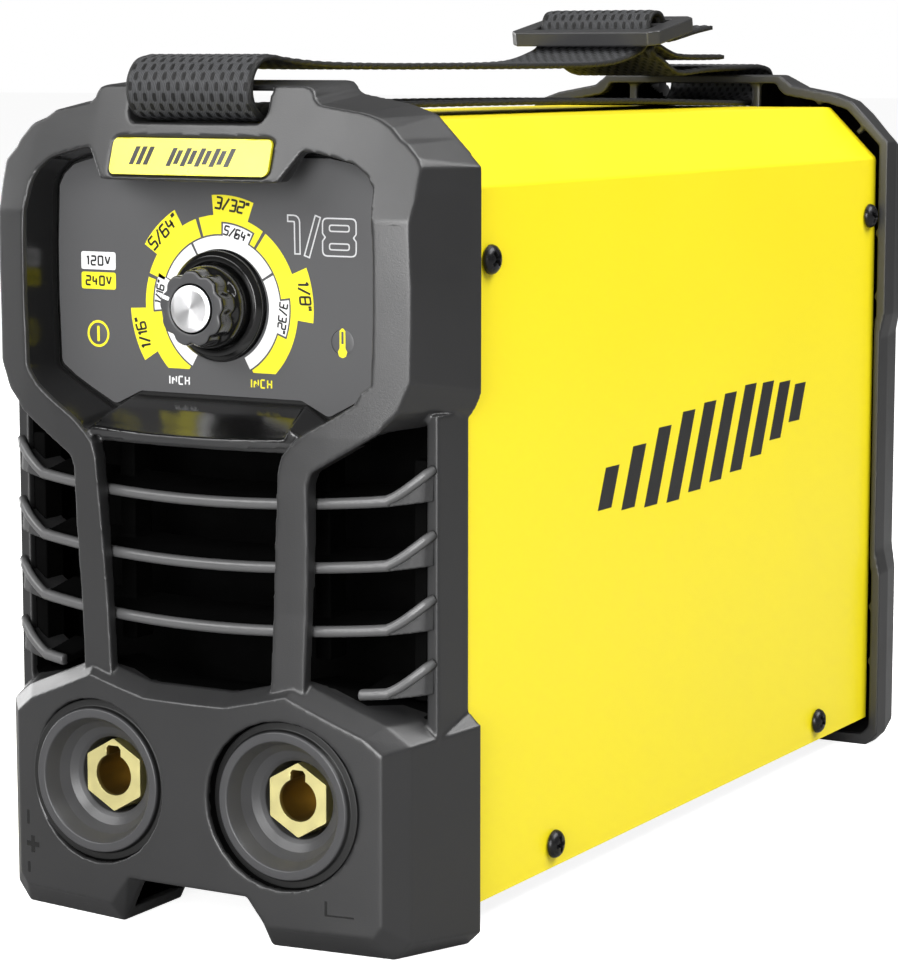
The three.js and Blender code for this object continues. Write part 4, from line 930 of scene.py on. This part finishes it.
# turned rings: fine grooves round the centre of the cap
sx, sy, sz = axes_of(SPUN)
rad = math_node(SPUN, "SQRT", math_node(SPUN, "ADD", math_node(SPUN, "MULTIPLY", sx, sx), math_node(SPUN, "POWER", math_node(SPUN, "SUBTRACT", sz, KZ), 2.0)))
groove = math_node(SPUN, "SINE", math_node(SPUN, "MULTIPLY", rad, 42.0))
bmp = nt.nodes.new("ShaderNodeBump")
bmp.inputs["Strength"].default_value = 0.25
bmp.inputs["Distance"].default_value = 0.00001
nt.links.new(tan.outputs[0], nt.nodes["Principled BSDF"].inputs["Tangent"])
nt.links.new(groove, bmp.inputs["Height"])
nt.links.new(bmp.outputs["Normal"], nt.nodes["Principled BSDF"].inputs["Normal"])
cap.data.materials[0] = SPUN

PA = math.radians(71)


def on_knob(u, v, d):
    return (u * math.cos(PA) - v * math.sin(PA), 4.9 - d, KZ + u * math.sin(PA) + v * math.cos(PA))


piece(slab("dial_pointer", [[rounded(-0.42, 0.42, 6.1, 7.95, 0.2)]], on_knob, -0.1, 0.14, WHITE, 40), "pointer_white", "knob_pointer", body="dial")
piece(lathe("dial_ring", fillet([(9.9, 13.9), (11.3, 13.95), (12.45, 14.9), (12.45, 16.7), (9.9, 16.7)], 0.5, 4), 0, KZ, GLOSS, 128), "gloss_black", "dial_collar")
piece(lathe("dial_shaft", [(0, 7.3), (2.7, 7.3), (3, 7.6), (3, 29.1), (2.7, 29.4), (0, 29.4)], 0, KZ, STEEL, 48), "zinc_steel", "potentiometer_shaft", body="dial")

# ------------------------------------------------------------------ output sockets
SX, SZ = 25.3, 33.3
for side, s in (("left", -1), ("right", 1)):
    x = s * SX
    prof = fillet([(8.95, 8.7), (9.9, 7.95), (11.6, 6.9), (13.2, 5.0), (14.2, 2.6), (14.7, 1.35), (16.7, 1.35), (17.0, 2.3), (17.2, 2.8), (18.85, 2.85), (18.85, 3.4), (13.9, 3.4), (13.9, 24), (8.95, 24)], 0.5, 4)
    piece(lathe("socket_cup_" + side, prof, x, SZ, SOCKET, 128), "socket_plastic", "socket_shell_" + side)
    bore = []
    a1 = math.asin(2.0 / 4.9)
    for i in range(49):
        a = math.pi / 2 - a1 - (2 * math.pi - 2 * a1) * i / 48
        bore.append((x + 4.9 * math.cos(a), SZ + 4.9 * math.sin(a)))
    bore += [(x - 2.0, SZ + 6.1), (x - 1.4, SZ + 6.9), (x + 1.4, SZ + 6.9), (x + 2.0, SZ + 6.1)]
    hexa = fillet(circle(x, SZ, 8.6, 6, math.pi / 2), 0.7, 4)
    body = bevel(prism_y("contact_" + side, [hexa, bore], 8.2, 23.4, BRASS, 25), 0.35, 1, 30)
    applied(body)
    stem = lathe("stem", [(0, 23.3), (8.2, 23.3), (8.2, 25.6), (7.8, 26), (4, 26), (4, 40.6), (3.6, 41), (0, 41)], x, SZ, BRASS, 64)
    contact = joined("brass_contact_" + side, [body, stem])
    shade(contact, 12)
    piece(contact, "brass_contact", "socket_contact_" + side)
    piece(bevel(prism_y("terminal_nut_" + side, [fillet(circle(x, SZ, 7.4, 6), 0.5, 3), circle(x, SZ, 4.3, 48)], 28.6, 34.6, ZINC), 0.4), "zinc_steel", "socket_nut_" + side)

# ------------------------------------------------------------------ sheet metal cover
half = fillet([(57.47, 8.0), (57.47, 170.0), (43.27, 184.2), (0, 184.2)], 1.7, 6, False)[:-1]
inner = fillet([(56.47, 8.0), (56.47, 169.6), (42.87, 183.2), (0, 183.2)], 1.0, 6, False)[:-1]
section = half + [(-u, v) for u, v in reversed(half)] + [(-u, v) for u, v in inner] + inner[::-1]
skin = prism_y("cover_skin", [section], 28.35, 264.8, YELLOW, 25)
piece(bevel(skin, 0.22, 2, 40), "cover_paint", "cover")


# screws with a crossed recess
def screw_mesh(head_r, head_h, shank_r, shank_l):
    prof = [(0, head_h), (head_r * 0.45, head_h * 0.97), (head_r * 0.75, head_h * 0.80), (head_r * 0.93, head_h * 0.52), (head_r, head_h * 0.2), (head_r, 0.06 * head_h), (head_r * 0.96, 0), (shank_r, 0), (shank_r, -shank_l), (0, -shank_l)]
    me_ob = lathe("screw_blank", prof, 0, 0, SCREW, 48, "z")
    me_ob.location = (0, 0.145, 0)
    tool = []
    arm, wide = head_r * 0.62, head_r * 0.15
    for a in (0, math.pi / 2):
        q = []
        for z, k in ((head_h * 0.25, 0.55), (head_h * 1.4, 1.35)):
            for u, v in ((-arm * k, -wide * k), (arm * k, -wide * k), (arm * k, wide * k), (-arm * k, wide * k)):
                q.append((u * math.cos(a) - v * math.sin(a), u * math.sin(a) + v * math.cos(a), z))
        f = [(0, 3, 2, 1), (4, 5, 6, 7)] + [(i, (i + 1) % 4, 4 + (i + 1) % 4, 4 + i) for i in range(4)]
        c = make("cutter", q, f, SCREW)
        c.location = (0, 0.145, 0)
        tool.append(c)
    bpy.context.view_layer.update()
    for c in tool:
        b = me_ob.modifiers.new("cross", "BOOLEAN")
        b.object = c
        b.solver = "EXACT"
        b.operation = "DIFFERENCE"
    applied(me_ob)
    for c in tool:
        bpy.data.objects.remove(c)
    me = me_ob.data
    me.transform(Matrix.Translation((0, 0.145, 0)))
    bpy.data.objects.remove(me_ob)
    bm = bmesh.new()
    bm.from_mesh(me)
    bmesh.ops.remove_doubles(bm, verts=bm.verts, dist=1e-7)
    bm.to_mesh(me)
    bm.free()
    return me


def place_screw(name, me, at, axis, cad, spin):
    m = me.copy()
    rot = Vector((0, 0, 1)).rotation_difference(Vector(axis)).to_matrix().to_4x4()
    m.transform(Matrix.Translation(Vector(metres(at))) @ rot @ Matrix.Rotation(math.radians(spin), 4, "Z"))
    ob = bpy.data.objects.new(name, m)
    bpy.context.scene.collection.objects.link(ob)
    m.materials.clear()
    m.materials.append(SCREW)
    shade(ob, 30)
    piece(ob, "black_screw", cad)


case_screw = screw_mesh(3.4, 2.1, 1.7, 6.6)
for i, (y, z) in enumerate([(38, 153.8), (259.5, 153.8), (69.7, 13.8), (227.8, 13.8)]):
    for side, s in (("left", -1), ("right", 1)):
        place_screw(f"case_screw_{side}_{i + 1}", case_screw, (s * 57.78, y, z), (s, 0, 0), f"cover_screw_{side}_{i + 1}", 25 + 31 * i + 12 * s)
guard_screw = screw_mesh(3.2, 0.5, 1.7, 27.0)
for i, (s, t) in enumerate([(-1, -1), (1, -1), (-1, 1), (1, 1)]):
    place_screw(f"guard_screw_{i + 1}", guard_screw, (s * 35.75, 289.45, 104 + t * 35.75), (0, 1, 0), f"fan_screw_{i + 1}", 17 + 40 * i)


# plain slanted bars on both sides of the cover, in place of any mark
def side_bars():
    shapes = []
    z0, lean = 86.0, 0.42
    heights = [10, 15, 19, 22, 22, 22, 22, 19, 15, 10]
    for i, h in enumerate(heights):
        y = 92 + 12.6 * i
        zz = 95.5 + 1.1 * i - h / 2
        shapes.append([[(y, zz), (y + 7.2, zz), (y + 7.2 + lean * h, zz + h), (y + lean * h, zz + h)]])
    return shapes


for side, s in (("right", 1), ("left", -1)):
    place = (lambda u, v, d, s=s: (s * (57.47 + d), u if s > 0 else 293.2 - u, v))
    piece(slab("side_bars_" + side, side_bars(), place, -0.02, 0.06, PRINT_K, 40), "cover_paint")

# ------------------------------------------------------------------ rear fittings
FZ = 104.0
wires = []
for r in (9.0, 18.4, 27.6):
    pts = []
    for k in range(96):
        a = 2 * math.pi * k / 96
        sec = []
        for j in range(10):
            b = 2 * math.pi * j / 10
            rr = r + 0.95 * math.cos(b)
            sec.append((rr * math.cos(a), 288.4 + 0.95 * math.sin(b), FZ + rr * math.sin(a)))
        pts.append(sec)
    wires.append(rings("hoop", pts, NYLON, loop=True))
for i in range(4):
    a = math.pi / 4 + i * math.pi / 2
    st = []
    for r in (5.5, 38.5):
        st.append([((r * math.cos(a) - w * math.sin(a)), 288.4 + d, FZ + r * math.sin(a) + w * math.cos(a)) for w, d in
                   [(1.05 * math.cos(2 * math.pi * j / 12), 0.95 * math.sin(2 * math.pi * j / 12)) for j in range(12)]])
    wires.append(rings("spoke", st, NYLON))
boss = lathe("boss", fillet([(0, 287.5), (6.0, 287.5), (6.0, 289.2), (0, 289.35)], 0.4, 3, True, (0, 3)), 0, FZ, NYLON, 48)
wires.append(boss)
frame_sq = fillet([(-44.1, FZ - 40.4), (44.1, FZ - 40.4), (44.1, FZ + 40.4), (-44.1, FZ + 40.4)], 4.0, 6)
plate = prism_y("plate", [frame_sq, circle(0, FZ, 36.6, 96), *[circle(s * 35.75, FZ + t * 35.75, 2.1, 24) for s in (-1, 1) for t in (-1, 1)]], 287.1, 289.4, NYLON)
wires.append(plate)
raw = joined("guard_raw", wires)
piece(softened("rear_guard", raw, NYLON, 0.3, 3, 60000), "black_nylon", "fan_guard")
bpy.data.objects.remove(raw)

# fan rotor with swept, twisted blades
parts = [lathe("hub", fillet([(0, 262), (14.6, 262), (15.6, 263), (15.6, 279.2), (14.2, 280.8), (0, 281.2)], 0.8, 4, True, (0, 5)), 0, FZ, FAN, 96)]
for i in range(7):
    st = []
    for k in range(13):
        t = k / 12
        r = 14.6 + (36.0 - 14.6) * t
        pitch = math.radians(52 - 18 * t)
        chord = 19 + 2.5 * math.sin(math.pi * t)
        sweep = 6 * t * t
        sec = []
        for j in range(14):
            b = 2 * math.pi * j / 14
            u = chord / 2 * math.cos(b)
            thick = 0.85 * math.sin(b) * (1 - 0.25 * abs(math.cos(b)))
            camber = 1.2 * (1 - (2 * u / chord) ** 2)
            w, d = thick + camber - 0.6, u
            tang = w * math.cos(pitch) + d * math.sin(pitch) + sweep
            dep = -w * math.sin(pitch) + d * math.cos(pitch)
            a = 2 * math.pi * i / 7
            px, pz = tang, r
            sec.append((px * math.cos(a) + pz * math.sin(a), 271.6 + dep, FZ - px * math.sin(a) + pz * math.cos(a)))
        st.append(sec)
    parts.append(rings("blade", st, FAN))
piece(joined("fan_wheel", parts), "fan_plastic", "fan_rotor", body="fan")

# inlet with a rounded nut, and the mains switch
GX, GZ = 27.0, 37.0
tube = lathe("tube", fillet([(4.6, 262), (7.9, 262), (7.9, 286.7), (4.6, 286.7)], 0.3, 2), GX, GZ, NYLON, 64)
dome = lathe("dome", fillet([(4.6, 286.4), (10.2, 286.4), (10.2, 288.9), (8.4, 289.75), (5.3, 289.8), (4.6, 289.0)], 0.4, 3), GX, GZ, NYLON, 64)
nut = bevel(prism_y("nut", [fillet(circle(GX, GZ, 11.6, 6), 0.8, 4), circle(GX, GZ, 6.0, 48)], 286.5, 289.0, NYLON), 0.35, 2, 40)
applied(nut)
raw = joined("gland_raw", [tube, dome, nut])
piece(softened("cord_inlet", raw, NYLON, 0.3, 2, 24000), "black_nylon", "cord_gland")
bpy.data.objects.remove(raw)
piece(bevel(prism_y("inlet_locknut", [fillet(circle(GX, GZ, 11.6, 6), 0.8, 4), circle(GX, GZ, 8.25, 48)], 273.5, 278.5, NYLON), 0.4, 2, 40), "black_nylon", "gland_nut")

WX, WZ = -27.0, 37.0
frame_o = rounded(WX - 14.3, WX + 14.3, WZ - 10.7, WZ + 10.7, 2.0, 5)
frame_i = rounded(WX - 11, WX + 11, WZ - 7.6, WZ + 7.6, 1.0, 4)
flange = bevel(prism_y("flange", [frame_o, frame_i], 286.5, 288.4, GLOSS), 0.5, 3, 40)
applied(flange)
well_o = rounded(WX - 12.9, WX + 12.9, WZ - 9.3, WZ + 9.3, 0.8, 3)
well = prism_y("well", [well_o, frame_i], 276.0, 286.9, GLOSS)
floor_ = prism_y("well_floor", [well_o], 266.0, 276.0, GLOSS)
piece(joined("switch_body", [flange, well, floor_]), "gloss_black", "switch_housing")

RY = 284.5
tilt = math.radians(-9)


def on_rocker(x, y, z):
    dy, dz = y - RY, z - WZ
    return (x, RY + dy * math.cos(tilt) - dz * math.sin(tilt), WZ + dy * math.sin(tilt) + dz * math.cos(tilt))


sec = [(RY + 3.0 + 1.3 * t * t, WZ + 6.9 * t) for t in np.linspace(-1, 1, 15)]
sec += [(RY - 1.5, WZ + 6.6), (RY - 5, WZ + 2.5), (RY - 5, WZ - 2.5), (RY - 1.5, WZ - 6.6)]
sec = fillet(sec, [0.25] + [0] * 13 + [0.5, 0.8, 1.2, 1.2, 0.8], 3)
rock = slab("switch_paddle", [[sec]], lambda u, v, d: on_rocker(WX + d, u, v), -10.4, 10.4, ROCKER, 32)
piece(bevel(rock, 0.5, 3, 40), "rocker_red", "switch_rocker", body="rocker")


def on_paddle(u, v, d):
    t = (v - WZ) / 6.9
    return on_rocker(WX + u, RY + 3.0 + 1.3 * t * t + d, v)


legend = [[rounded(-0.3, 0.3, WZ + 2.2, WZ + 5.2, 0.2)], [[(1.25 * math.cos(a), WZ - 3.6 + 1.25 * math.sin(a)) for a in np.linspace(0, 2 * math.pi, 28, endpoint=False)], [(0.75 * math.cos(a), WZ - 3.6 + 0.75 * math.sin(a)) for a in np.linspace(0, 2 * math.pi, 28, endpoint=False)]]]
piece(slab("switch_legend", legend, on_paddle, -0.04, 0.05, PRINT_W, 40), "rocker_red", body="rocker")
piece(bevel(prism_y("blank_plate", [rounded(-24.2, 24.2, 150, 167, 1.2)], 289.35, 289.85, PLATE), 0.12, 2, 40), "plate_aluminium", "rating_plate")

# ------------------------------------------------------------------ carrying strap
PATH = [(242, 206.6), (231, 205.3), (221.5, 203.9), (215.6, 203.2), (212.6, 203.8), (211.3, 205.6), (210.9, 207.6), (209.4, 209.7), (206.6, 210.4), (203.6, 209.7), (202, 207.6), (201.7, 204.8), (200.6, 202.3), (197.8, 200.3), (193, 199.0), (187, 197.8), (179, 196.8), (168, 196.3), (140, 196.1), (100, 196.1), (60, 196.2), (34, 196.7), (20, 197.6), (13, 198.2), (8.4, 197), (5.6, 193.6), (5.4, 189.6), (7.8, 186.2), (12, 185.0), (20, 185.2), (32, 186.4), (60, 187.0), (110, 187.1), (160, 186.9), (205, 186.4), (240, 185.6), (262, 185.2), (276, 185.2), (282, 186.6), (284.8, 190.2), (283.4, 193.8), (279, 195.3), (262, 195.3), (240, 194.8), (226, 194.0), (220, 194.2), (214.5, 195.8), (208.8, 198.0), (205.2, 199.2), (204.1, 200.4), (205.3, 201.5), (208.4, 201.3), (213, 200.1), (219, 198.9), (232, 198.3), (250, 198.4)]


def smooth_path(pts):
    """Centripetal spline through the points, sampled densely, with its running length."""
    p = [np.array(q, float) for q in pts]
    p = [2 * p[0] - p[1]] + p + [2 * p[-1] - p[-2]]
    out = []
    for i in range(1, len(p) - 2):
        p0, p1, p2, p3 = p[i - 1 : i + 3]
        t0 = 0.0
        t1 = t0 + np.linalg.norm(p1 - p0) ** 0.5
        t2 = t1 + np.linalg.norm(p2 - p1) ** 0.5
        t3 = t2 + np.linalg.norm(p3 - p2) ** 0.5
        for k in range(40):
            t = t1 + (t2 - t1) * k / 40
            a1 = (t1 - t) / (t1 - t0) * p0 + (t - t0) / (t1 - t0) * p1
            a2 = (t2 - t) / (t2 - t1) * p1 + (t - t1) / (t2 - t1) * p2
            a3 = (t3 - t) / (t3 - t2) * p2 + (t - t2) / (t3 - t2) * p3
            b1 = (t2 - t) / (t2 - t0) * a1 + (t - t0) / (t2 - t0) * a2
            b2 = (t3 - t) / (t3 - t1) * a2 + (t - t1) / (t3 - t1) * a3
            out.append((t2 - t) / (t2 - t1) * b1 + (t - t1) / (t2 - t1) * b2)
    out.append(p[-2])
    out = np.array(out)
    s = np.concatenate([[0], np.cumsum(np.linalg.norm(np.diff(out, axis=0), axis=1))])
    return out, s


ROWS, DOTS = 4.4, 33.2 / 13        # weave repeat along and across


def webbing():
    curve, s = smooth_path(PATH)
    length = s[-1]
    per = 6
    n = int(length / ROWS * per)
    u = np.linspace(0, length, n + 1)
    cy, cz = np.interp(u, s, curve[:, 0]), np.interp(u, s, curve[:, 1])
    ty, tz = np.gradient(cy, u), np.gradient(cz, u)
    l = np.hypot(ty, tz)
    ny, nz = -tz / l, ty / l
    half_w = 16.6
    cols = 13 * 4
    n_c = cols + 1
    w = np.linspace(-half_w, half_w, n_c)
    edge = np.clip((half_w - np.abs(w)) / 1.2, 0, 1)
    verts, uvs = [], []
    for side in (1, -1):
        for i in range(n + 1):
            a = np.cos(2 * np.pi * u[i] / ROWS) * np.cos(2 * np.pi * (w + half_w) / DOTS) * side
            h = 0.50 + edge * (0.26 - 0.30 * np.clip(a, 0, 1) ** 0.8 + 0.04 * np.cos(2 * np.pi * (w + half_w) / DOTS * 2))
            for j in range(n_c):
                verts.append((float(w[j]), float(cy[i] + ny[i] * h[j] * side), float(cz[i] + nz[i] * h[j] * side)))
                uvs.append((u[i] / 1000.0 + (0 if side > 0 else ROWS / 2000.0), w[j] / 1000.0))
    faces = []
    off = (n + 1) * n_c
    for i in range(n):
        for j in range(cols):
            a = i * n_c + j
            faces.append((a, a + n_c, a + n_c + 1, a + 1))
            faces.append((off + a, off + a + 1, off + a + n_c + 1, off + a + n_c))
        a = i * n_c
        faces.append((a, off + a, off + a + n_c, a + n_c))
        b = a + cols
        faces.append((b, b + n_c, off + b + n_c, off + b))
    for j in range(cols):
        faces.append((j, j + 1, off + j + 1, off + j))
        a = n * n_c + j
        faces.append((a, off + a, off + a + 1, a + 1))
    me = bpy.data.meshes.new("strap")
    me.from_pydata([metres(v) for v in verts], [], faces)
    layer = me.uv_layers.new(name="weave")
    uv = np.array(uvs)
    idx = np.empty(len(me.loops), int)
    me.loops.foreach_get("vertex_index", idx)
    layer.data.foreach_set("uv", uv[idx].ravel())
    ob = bpy.data.objects.new("strap", me)
    bpy.context.scene.collection.objects.link(ob)
    me.polygons.foreach_set("use_smooth", [True] * len(me.polygons))
    bm = bmesh.new()
    bm.from_mesh(me)
    bmesh.ops.recalc_face_normals(bm, faces=bm.faces)
    bm.to_mesh(me)
    bm.free()
    return ob


def web_material():
    m = finish_of("woven_nylon", (0.030, 0.030, 0.031), 0.6, mottle=0.2, mottle_mm=1.2, rough_var=0.08, specular=0.35)
    nt = m.node_tree
    b = nt.nodes["Principled BSDF"]
    uv = node(m, "ShaderNodeUVMap", uv_map="weave")
    sep = node(m, "ShaderNodeSeparateXYZ")
    nt.links.new(uv.outputs[0], sep.inputs[0])
    along = math_node(m, "MULTIPLY", sep.outputs[0], 1000.0)
    across = math_node(m, "ADD", math_node(m, "MULTIPLY", sep.outputs[1], 1000.0), 16.6)
    ca = math_node(m, "COSINE", math_node(m, "MULTIPLY", along, 2 * math.pi / ROWS))
    cb = math_node(m, "COSINE", math_node(m, "MULTIPLY", across, 2 * math.pi / DOTS))
    dot = math_node(m, "MULTIPLY", ca, cb)
    # painted shade: the pits between the yarns are painted near black
    pit = node(m, "ShaderNodeMapRange")
    nt.links.new(dot, pit.inputs["Value"])
    pit.inputs["From Min"].default_value = 0.12
    pit.inputs["From Max"].default_value = 0.42
    # single filaments twist along each yarn
    fil = math_node(m, "SINE", math_node(m, "ADD", math_node(m, "MULTIPLY", across, 2 * math.pi / 0.42), math_node(m, "MULTIPLY", along, 2.6)))
    tone = node(m, "ShaderNodeMapRange")
    nt.links.new(fil, tone.inputs["Value"])
    tone.inputs["From Min"].default_value = -1
    tone.inputs["From Max"].default_value = 1
    yarn = node(m, "ShaderNodeMix", data_type="RGBA")
    nt.links.new(tone.outputs["Result"], yarn.inputs[0])
    yarn.inputs[6].default_value = (0.018, 0.0185, 0.020, 1)
    yarn.inputs[7].default_value = (0.050, 0.051, 0.054, 1)
    mix = node(m, "ShaderNodeMix", data_type="RGBA")
    nt.links.new(pit.outputs["Result"], mix.inputs[0])
    nt.links.new(yarn.outputs[2], mix.inputs[6])
    mix.inputs[7].default_value = (0.002, 0.002, 0.002, 1)
    # selvedges are bound with a darker thread
    rim = between(m, math_node(m, "ABSOLUTE", math_node(m, "SUBTRACT", across, 16.6)), 15.7, None, 0.4)
    edge = node(m, "ShaderNodeMix", data_type="RGBA")
    nt.links.new(rim, edge.inputs[0])
    nt.links.new(mix.outputs[2], edge.inputs[6])
    edge.inputs[7].default_value = (0.006, 0.006, 0.006, 1)
    nt.links.new(edge.outputs[2], b.inputs["Base Color"])
    height = math_node(m, "SUBTRACT", math_node(m, "MULTIPLY", fil, 0.25), pit.outputs["Result"])
    bump = node(m, "ShaderNodeBump")
    bump.inputs["Strength"].default_value = 0.7
    bump.inputs["Distance"].default_value = 0.00012
    nt.links.new(height, bump.inputs["Height"])
    nt.links.new(bump.outputs["Normal"], b.inputs["Normal"])
    return m


strap = webbing()
strap.data.materials.append(web_material())
piece(strap, "webbing", "strap_webbing")
piece(softened("slide_buckle", NODES["strap_buckle"], BUCKLE, 0.25, 9, 24000), "black_nylon", "strap_buckle")

# ------------------------------------------------------------------ finishes on the other pieces
CARRIED = {
    "base_pan": ZINC, "potentiometer_bush": BRASS, "potentiometer_nut": ZINC, "potentiometer_body": STEEL, "control_board": BOARD,
    "socket_busbar_left": COPPER, "socket_busbar_right": COPPER, "fan_frame": FAN, "main_board": BOARD,
    "heatsink_left": HEATSINK, "heatsink_right": HEATSINK, "power_transistors": CHIP, "output_rectifiers": CHIP, "insulation_barrier": BARRIER,
    "bulk_capacitor_1": SLEEVE, "bulk_capacitor_2": SLEEVE, "transformer_core": FERRITE, "transformer_winding": COPPER, "output_choke": COPPER,
}
for name, mat in CARRIED.items():
    ob = NODES[name]
    ob.data.materials.clear()
    ob.data.materials.append(mat)

# ------------------------------------------------------------------ floor, light, camera
AMBIENT, GLOW = 0.13, 0.85
floor_mat = finish_of("studio_floor", (0.80, 0.80, 0.80), 0.6, grain=0.0, mottle=0.01, mottle_mm=400, rough_var=0.02, specular=0.2)
fb = floor_mat.node_tree.nodes["Principled BSDF"]
fb.inputs["Emission Color"].default_value = (1, 1, 1, 1)
seen = node(floor_mat, "ShaderNodeLightPath").outputs["Is Camera Ray"]
floor_mat.node_tree.links.new(math_node(floor_mat, "MULTIPLY", seen, GLOW), fb.inputs["Emission Strength"])
tone = node(floor_mat, "ShaderNodeMix", data_type="RGBA")
floor_mat.node_tree.links.new(seen, tone.inputs[0])
tone.inputs[6].default_value = (0.30, 0.30, 0.30, 1)
floor_mat.node_tree.links.new(fb.inputs["Base Color"].links[0].from_socket, tone.inputs[7])
floor_mat.node_tree.links.new(tone.outputs[2], fb.inputs["Base Color"])
fl = bpy.data.meshes.new("floor")
fl.from_pydata([(-14, -14, 0), (14, -14, 0), (14, 14, 0), (-14, 14, 0)], [], [(0, 1, 2, 3)])
floor = bpy.data.objects.new("floor", fl)
bpy.context.scene.collection.objects.link(floor)
fl.materials.append(floor_mat)

world = bpy.data.worlds.new("studio")
bpy.context.scene.world = world
world.use_nodes = True
wt = world.node_tree
room = wt.nodes["Background"]
room.inputs[0].default_value = (1, 1, 1, 1)
room.inputs[1].default_value = AMBIENT
sheet = wt.nodes.new("ShaderNodeBackground")
sheet.inputs[0].default_value = (1, 1, 1, 1)
sheet.inputs[1].default_value = 1.0
path = wt.nodes.new("ShaderNodeLightPath")
both = wt.nodes.new("ShaderNodeMixShader")
wt.links.new(path.outputs["Is Camera Ray"], both.inputs[0])
wt.links.new(room.outputs[0], both.inputs[1])
wt.links.new(sheet.outputs[0], both.inputs[2])
wt.links.new(both.outputs[0], wt.nodes["World Output"].inputs[0])


def lamp(name, at, aim, size, watts, size_y=None):
    d = bpy.data.lights.new(name, "AREA")
    d.shape = "RECTANGLE"
    d.size = size
    d.size_y = size_y or size
    d.energy = watts
    o = bpy.data.objects.new(name, d)
    bpy.context.scene.collection.objects.link(o)
    o.location = at
    o.rotation_euler = (Vector(aim) - Vector(at)).to_track_quat("-Z", "Y").to_euler()
    return o


def around(azimuth, elevation, distance):
    """A place round the machine: azimuth 0 is straight in front, positive to the right."""
    a, e = math.radians(azimuth), math.radians(elevation)
    return (distance * math.cos(e) * math.sin(a), -distance * math.cos(e) * math.cos(a), 0.1 + distance * math.sin(e))


MID = (0, 0, 0.1)
lamp("front", around(10, 9, 1.5), MID, 0.75, 25, 0.85)
lamp("front_high", around(-28, 34, 1.5), MID, 1.1, 13, 0.5)
lamp("right", around(98, 50, 1.6), MID, 1.4, 29, 0.8)
lamp("top", around(150, 82, 1.5), MID, 1.2, 10)
lamp("left_back", around(-96, 10, 1.6), MID, 1.1, 18, 0.9)

cam = bpy.data.cameras.new("camera")
cam.lens = 115.58
cam.sensor_width = 36.0
cam.sensor_fit = "AUTO"
cam.clip_start = 0.05
cam.clip_end = 60
co = bpy.data.objects.new("camera", cam)
bpy.context.scene.collection.objects.link(co)
co.location = (0.3906, -0.7080, 0.19795)
co.rotation_euler = (math.radians(90 - 7.79), 0, math.radians(29.738))
bpy.context.scene.camera = co
bpy.context.scene.view_settings.view_transform = "Standard"
bpy.context.scene.view_settings.look = "None"
